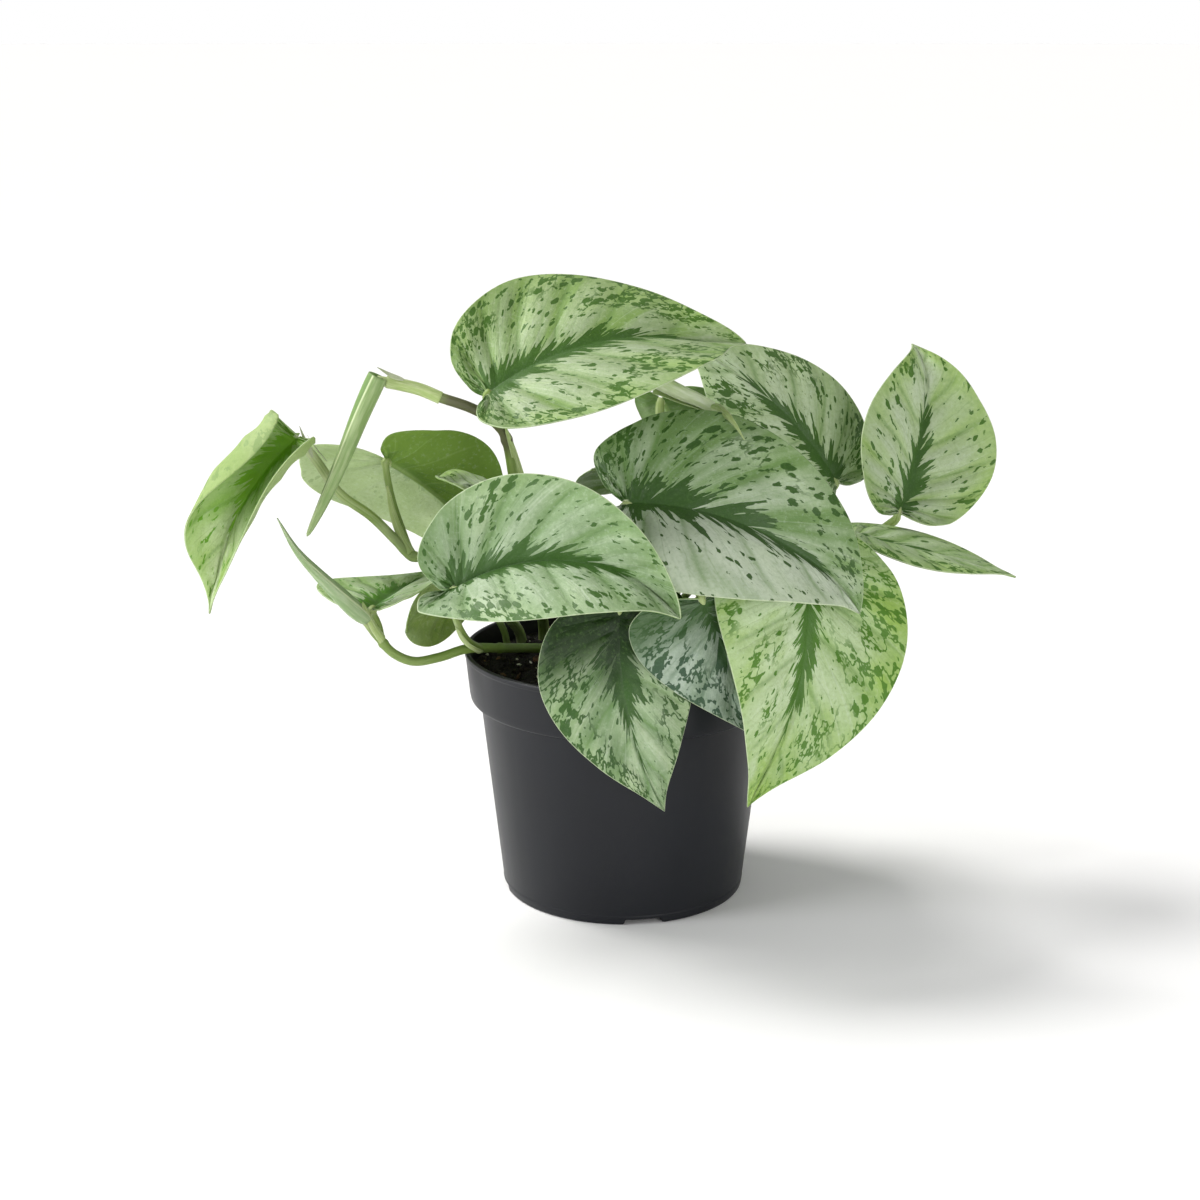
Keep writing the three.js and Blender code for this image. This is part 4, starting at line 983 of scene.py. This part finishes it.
# The profile turned round the pot's axis at the given angles; its ends lie on the axis.
def revolve(profile, angles):
    rings = profile[1:-1]
    columns = len(angles)
    points = np.stack([rings[:, :1] * np.cos(angles), rings[:, :1] * np.sin(angles),
                       np.repeat(rings[:, 1:], columns, axis=1)], -1)
    ends = np.array([[0, 0, profile[0, 1]], [0, 0, profile[-1, 1]]])
    count = len(rings) * columns
    faces = ringFaces(len(rings), columns) + capFaces(0, columns, count, True)
    faces += capFaces(count - columns, columns, count + 1, False)
    return np.vstack([points.reshape(-1, 3), ends]), faces


# columns: of points round the pot; longest: stretch of the profile without a point; beside: where
# extra columns lie at each notch, in shares of its half width.
potMake = {
    "height": 94, "rimRadius": 60, "collarHeight": 19, "collarFoot": 58, "bodyTop": 54.3, "base": 46,
    "wall": 1.3, "floor": 4.6, "footLift": 3, "footWidth": 5, "pad": 12, "columns": 160, "longest": 4.0,
    "notch": {"width": 14, "height": 2.2, "count": 4, "first": -81, "beside": (0.90, 0.96, 1.0, 1.05, 1.12)},
    "drain": {"radius": 2.5, "circle": 28, "count": 8, "from": -5, "to": 9, "columns": 24},
}


def potPaint():
    paint = Paint("potPlastic")
    place = paint.place()
    x, y, z = paint.parts(place)
    clouds = paint.noise(place, 26.0, 3.0, 0.55)
    grain = paint.noise(place, 3200.0, 2.0, 0.6)
    angle = y.maths("ARCTAN2", x)
    drawn = paint.noise(paint.vector(angle * 9.0, z * 4.0, 0.0), 1.0, 3.0, 0.6)
    rings = paint.noise(paint.vector(0.0, 0.0, z), 900.0, 2.0, 0.6)
    skin = paint.blend((clouds - 0.3).step(0.0, 0.5) * 0.5, "090c13", "0f131b")
    dust = (z - 0.080).step(0.0, 0.014) * (clouds - 0.45).step(0.0, 0.2)
    skin = paint.blend(dust * 0.12, skin, "5a5750")
    roughness = 0.42 + (clouds - 0.5) * 0.12 + (drawn - 0.5) * 0.1 + dust * 0.1
    bump = paint.bump(grain * 0.5 + rings * 0.25 + drawn * 0.5, 0.00008, 0.7)
    return paint.surface(Base_Color=skin, Roughness=roughness, Normal=bump, Specular_IOR_Level=0.34)


# Round holes through the pot's floor, in a circle round its axis, cut by one mesh of upright rods.
def cutDrains(pot, **drain):
    radius, low, high, count = (drain[key] for key in ("radius", "from", "to", "count"))
    rod = np.array([[0, low], [radius, low], [radius, high], [0, high]], float)
    one, oneFaces = revolve(rod, np.linspace(0, 2 * np.pi, drain["columns"], endpoint=False))
    around = 2 * np.pi * (np.arange(count) + 0.5) / count
    middles = drain["circle"] * np.stack([np.cos(around), np.sin(around), 0 * around], -1)
    points = (one[None] + middles[:, None]).reshape(-1, 3)
    faces = [[v + k * len(one) for v in face] for k in range(count) for face in oneFaces]
    cutter = inScene("drainCutter", makeMesh("drainCutter", points, faces))
    modifier = pot.modifiers.new("drains", "BOOLEAN")
    modifier.operation, modifier.object, modifier.solver = "DIFFERENCE", cutter, "EXACT"
    bpy.context.view_layer.update()
    cut = bpy.data.meshes.new_from_object(pot.evaluated_get(bpy.context.evaluated_depsgraph_get()))
    pot.modifiers.clear()
    pot.data = cut
    cut.set_sharp_from_angle(angle=math.radians(38))
    bpy.data.objects.remove(cutter)


# The pot: one closed wall turned round the axis, its foot ring lifted in four notches, and the drain
# holes cut through its floor.
def makePot(make):
    keys = ("height", "rimRadius", "collarFoot", "bodyTop", "base", "wall", "floor", "footLift", "pad")
    top, rim, collarFoot, bodyTop, base, wall, floor, lift, pad = (make[key] for key in keys)
    collar = top - make["collarHeight"]
    ledge = collar + 1.5
    ring = base - make["footWidth"]
    inner = lambda z: base + (bodyTop - base) * z / collar - wall
    corners = [
        (0, 0, 0), (pad, 0, 0.5), (pad + 1, lift, 0.8), (ring - 1, lift, 0.8), (ring, 0, 0.4),
        (base - 0.2, 0, 0.9), (base + 0.35, 3.2, 0.6), (base + 0.25, 3.7, 0.4), (bodyTop, collar, 0.5),
        (collarFoot - 0.3, collar, 1.1), (collarFoot + 0.25, collar + 2.6, 1.0),
        (rim - 0.42, top - 3.3, 0.7), (rim - 0.3, top - 2.2, 0.3), (rim, top - 1.7, 0.4), (rim, top, 0.6),
        (rim - wall - 0.3, top, 0.5), (rim - wall - 0.45, top - 1.4, 0.4), (collarFoot - wall, ledge, 0.8),
        (inner(collar), ledge, 0.6), (inner(floor), floor, 1.0), (0, floor, 0),
    ]
    profile = finerProfile(roundedProfile(corners), make["longest"])
    notch = make["notch"]
    halfTurn = notch["width"] / 2 / base
    middles = [math.radians(notch["first"] + 360 * i / notch["count"]) for i in range(notch["count"])]
    extra = [middle + hand * halfTurn * share
             for middle in middles for share in notch["beside"] for hand in (-1, 1)]
    even = np.linspace(0, 2 * np.pi, make["columns"], endpoint=False)
    angles = np.unique(np.round(np.concatenate([even, np.array(extra) % (2 * np.pi)]), 4))
    points, faces = revolve(profile, angles)
    turn = np.arctan2(points[:, 1], points[:, 0])
    away = np.min([np.abs((turn - middle + np.pi) % (2 * np.pi) - np.pi) for middle in middles], axis=0)
    window = np.clip((1.1 - away / halfTurn) / 0.17, 0, 1)
    window = window * window * (3 - 2 * window)
    foot = np.hypot(points[:, 0], points[:, 1]) > ring - 1.2
    lifted = np.maximum(points[:, 2], notch["height"] * window)
    points[:, 2] = np.where(foot & (points[:, 2] < notch["height"]), lifted, points[:, 2])
    pot = makePiece("nurseryPot", points, faces, potPaint(), replaces=["pot"])
    cutDrains(pot, **make["drain"])


makePot(potMake)
print("pot made")


# Unevenness over the ground: sines of every direction, each layer finer and lower than the last.
def unevenness(x, y, size, seed, layers):
    rng = np.random.default_rng(seed)
    total = np.zeros_like(x)
    for layer in range(layers):
        for angle, phase in rng.uniform(0, 2 * np.pi, (7, 2)):
            pace = 2 * np.pi / size * 1.9 ** layer
            total += np.sin((x * np.cos(angle) + y * np.sin(angle)) * pace + phase) / 2.2 ** layer / 7
    return total


# level: height of the peat's edge; crown: how much higher the middle is; lumps: height of the
# unevenness, broad and fine; sides: the outline inside the pot, as radius, height and rounding.
soilMake = {
    "level": 86.0, "crown": 1.2, "crownRadius": 60, "lumps": 1.1, "fineShare": 0.7,
    "broad": {"size": 26, "seed": 3, "layers": 4}, "fine": {"size": 7, "seed": 4, "layers": 3},
    "sides": [(0, 4.9, 0), (44.6, 4.9, 0.5), (52.6, 76.8, 0.3), (56.4, 76.8, 0.3), (57.3, 84.6, 0.3)],
    "edge": (57.2, 85.5), "longest": 9.0, "rings": 130, "columns": 300,
}


def soilHeight(x, y):
    make = soilMake
    level = make["level"] + make["crown"] * (1 - (np.hypot(x, y) / make["crownRadius"]) ** 2)
    lumps = unevenness(x, y, **make["broad"]) + make["fineShare"] * unevenness(x, y, **make["fine"])
    return level + make["lumps"] * lumps


def peatPaint():
    paint = Paint("peatGround")
    place = paint.place()
    clods = paint.noise(place, 420.0, 5.0, 0.68)
    fine = paint.noise(place, 1900.0, 3.0, 0.65)
    crumbs, _ = paint.cells(place, 620.0)
    skin = paint.blend((clods - 0.32).step(0.0, 0.4), "090604", "1c140f")
    skin = paint.blend((fine - 0.6).step(0.0, 0.16) * 0.5, skin, "4a3727")
    bump = paint.bump(clods * 0.9 + crumbs * 0.6 + fine * 0.3, 0.0012)
    roughness = 0.82 + (fine - 0.5) * 0.2
    return paint.surface(Base_Color=skin, Roughness=roughness, Normal=bump, Specular_IOR_Level=0.3)


# A ball of 18 points and 32 triangles: each face of an octahedron is cut into four.
def smallBall():
    shape = list(np.array([[1, 0, 0], [-1, 0, 0], [0, 1, 0], [0, -1, 0], [0, 0, 1], [0, 0, -1]], float))
    eight = [(0, 2, 4), (2, 1, 4), (1, 3, 4), (3, 0, 4), (2, 0, 5), (1, 2, 5), (3, 1, 5), (0, 3, 5)]
    middles, faces = {}, []
    for a, b, c in eight:
        halfway = []
        for pair in ((a, b), (b, c), (c, a)):
            key = tuple(sorted(pair))
            if key not in middles:
                middles[key] = len(shape)
                shape.append(unit(shape[pair[0]] + shape[pair[1]]))
            halfway.append(middles[key])
        ab, bc, ca = halfway
        faces += [(a, ab, ca), (ab, b, bc), (ca, bc, c), (ab, bc, ca)]
    return np.array(shape), np.array(faces)


def grainPaint(name, first, second, roughness):
    paint = Paint(name)
    place = paint.place()
    clouds = paint.noise(place, 300.0, 2.0, 0.5)
    pits = paint.noise(place, 2600.0, 3.0, 0.6)
    skin = paint.blend((clouds - 0.35).step(0.0, 0.3), first, second)
    bump = paint.bump(pits, 0.0003, 0.9)
    return paint.surface(Base_Color=skin, Roughness=roughness + (pits - 0.5) * 0.1, Normal=bump)


# What lumps have in common: rarity of the large ones, flatness, dents, how far they tip over and how
# high their middle lies, the last as a share of their size.
lumpMake = {"rarity": 2.2, "flat": (0.45, 0.9), "dents": (0.72, 1.15), "tip": 0.35, "rise": 0.15}


# Copies of one small ball, each stretched, turned and dented its own way, lying on the peat.
def makeLumps(name, skin, count, sizes, stretch, reach, seed):
    make = lumpMake
    shape, faces = smallBall()
    rng = np.random.default_rng(seed)
    radius = reach * np.sqrt(rng.uniform(0, 1, count))
    angle = rng.uniform(0, 2 * np.pi, count)
    x, y = radius * np.cos(angle), radius * np.sin(angle)
    size = sizes[0] + (sizes[1] - sizes[0]) * rng.uniform(0, 1, count) ** make["rarity"]
    spread = rng.uniform(*stretch, (count, 3))
    spread[:, 2] = rng.uniform(*make["flat"], count)
    dents = rng.uniform(*make["dents"], (count, len(shape), 1))
    w, i, j, k = unit(rng.normal(size=(count, 4)) * [1, make["tip"], make["tip"], 1]).T
    turn = np.stack([1 - 2 * (j * j + k * k), 2 * (i * j - k * w), 2 * (i * k + j * w),
                     2 * (i * j + k * w), 1 - 2 * (i * i + k * k), 2 * (j * k - i * w),
                     2 * (i * k - j * w), 2 * (j * k + i * w), 1 - 2 * (i * i + j * j)], -1)
    lumps = shape[None] * dents * spread[:, None] * (size / 2)[:, None, None]
    lumps = np.einsum("nab,nvb->nva", turn.reshape(-1, 3, 3), lumps)
    lumps += np.stack([x, y, soilHeight(x, y) + size * make["rise"]], -1)[:, None]
    every = (faces[None] + (np.arange(count) * len(shape))[:, None, None]).reshape(-1, 3).tolist()
    piece = makePiece(name, lumps.reshape(-1, 3), every, grainPaint(*skin))
    piece.data.polygons.foreach_set("use_smooth", np.zeros(len(piece.data.polygons), bool))


# The peat: an uneven top over the shape of the pot's inside.
def makeSoil(make):
    sides = finerProfile(roundedProfile(make["sides"]), make["longest"])
    radius, level = make["edge"]
    top = np.stack([np.linspace(radius, 0, make["rings"]), np.full(make["rings"], level)], -1)
    angles = np.linspace(0, 2 * np.pi, make["columns"], endpoint=False)
    points, faces = revolve(np.vstack([sides, top]), angles)
    onTop = points[:, 2] > level - 0.3
    points[onTop, 2] = soilHeight(points[onTop, 0], points[onTop, 1])
    makePiece("peatBall", points, faces, peatPaint(), replaces=["soil"])


# What lies on the peat. skin: its name, two colours and roughness; sizes: least and greatest;
# stretch: sideways; reach: how far from the middle of the pot.
groundCover = {
    "peatCrumbs": {"skin": ("crumbSkin", "0e0a07", "23180f", 0.85), "count": 1500, "sizes": (0.6, 3.2),
                   "stretch": (0.7, 1.3), "reach": 56, "seed": 11},
    "barkChips": {"skin": ("barkSkin", "3a2718", "6b4c30", 0.75), "count": 110, "sizes": (1.4, 5.0),
                  "stretch": (0.35, 1.5), "reach": 55, "seed": 12},
    "perliteGrains": {"skin": ("perliteSkin", "b9b3a6", "e4e1d8", 0.8), "count": 70, "sizes": (0.7, 2.4),
                      "stretch": (0.8, 1.15), "reach": 55, "seed": 13},
}
makeSoil(soilMake)
for name, cover in groundCover.items():
    makeLumps(name, **cover)
print("peat made")

floorMake = {"radius": 40000, "innermost": 0.03, "rings": 40, "columns": 96, "tones": (0.94, 0.92)}


# The floor: rings of points, further and further apart, out to what is as good as the horizon.
def makeFloor(make):
    paint = Paint("paleFloor")
    cloud = paint.noise(paint.place(), 2.5, 2.0, 0.5)
    mixed = paint.blend(cloud * 0.3, *((tone, tone, tone, 1) for tone in make["tones"]))
    skin = paint.surface(Base_Color=mixed, Roughness=0.9, Specular_IOR_Level=0.1)
    angles = np.linspace(0, 2 * np.pi, make["columns"], endpoint=False)
    radii = make["radius"] * np.linspace(make["innermost"], 1, make["rings"])[:, None] ** 3
    flat = np.stack([radii * np.cos(angles), radii * np.sin(angles), 0 * radii * angles], -1).reshape(-1, 3)
    faces = [face[::-1] for face in ringFaces(make["rings"], make["columns"])]
    faces += capFaces(0, make["columns"], len(flat), False)
    mesh = makeMesh("floor", np.vstack([flat, [[0, 0, 0]]]), faces)
    mesh.materials.append(skin)
    inScene("floor", mesh)


makeFloor(floorMake)

# A soft sun from the back left throws the shadow to the front right, a light at the left picks out
# the edges, one at the front right fills, and the world is bright above and dimmer round the sides,
# with a white line of horizon. softness: the sun's width in degrees; dome: brightness of the world
# by height.
stageLights = {
    "sun": {"kind": "SUN", "place": (-1200, 480, 1520), "aim": (0, 0, 0), "softness": 24, "power": 2.85,
            "tint": (1.0, 0.985, 0.965)},
    "side": {"kind": "AREA", "place": (-1300, -500, 450), "aim": (0, 0, 120), "size": 700, "power": 12,
             "tint": (0.98, 0.985, 1.0)},
    "front": {"kind": "AREA", "place": (700, -1450, 330), "aim": (20, 0, 130), "size": 900, "power": 10,
              "tint": (1.0, 0.99, 0.975)},
}
dome = [(0.0, 1.0), (0.02, 1.0), (0.06, 0.3), (0.25, 0.36), (0.6, 0.42), (1.0, 0.42)]


def makeLight(name, make):
    light = bpy.data.lights.new(name, make["kind"])
    holder = inScene(name, light)
    place, aim = (np.array(make[key], float) * mm for key in ("place", "aim"))
    holder.location = place
    away = unit(place - aim)
    holder.rotation_euler = (math.acos(away[2]), 0, math.atan2(away[0], -away[1]))
    light.energy, light.color = make["power"], make["tint"]
    if make["kind"] == "SUN":
        light.angle = math.radians(make["softness"])
    else:
        light.shape, light.size = "DISK", make["size"] * mm


for name, light in stageLights.items():
    makeLight(name + "Light", light)

world = Paint("studio", "World")
_, _, height = world.parts(world.node("ShaderNodeTexCoord").outputs["Generated"])
stops = [(share, (level, level, level)) for share, level in dome]
ramp = world.node("ShaderNodeValToRGB", {"stops": stops}, {"Fac": height})
glow = world.node("ShaderNodeBackground", None, {"Color": ramp.outputs["Color"], "Strength": 1.0})
world.tree.links.new(glow.outputs[0], world.output.inputs["Surface"])
bpy.context.scene.world = world.owner
bpy.context.scene.view_settings.view_transform = "Standard"

# farthest: what lies further off is not drawn; tilt: in degrees up from straight down.
cameraMake = {"lens": 63.0, "sensor": 36.0, "place": (-8.9, -761, 320), "tilt": 74.7, "farthest": 200000}
camera = bpy.data.cameras.new("camera")
camera.lens, camera.sensor_width = cameraMake["lens"], cameraMake["sensor"]
camera.clip_end = cameraMake["farthest"] * mm
holder = inScene("camera", camera)
holder.location = [v * mm for v in cameraMake["place"]]
holder.rotation_euler = (math.radians(cameraMake["tilt"]), 0, 0)
bpy.context.scene.camera = holder
print("stage set")
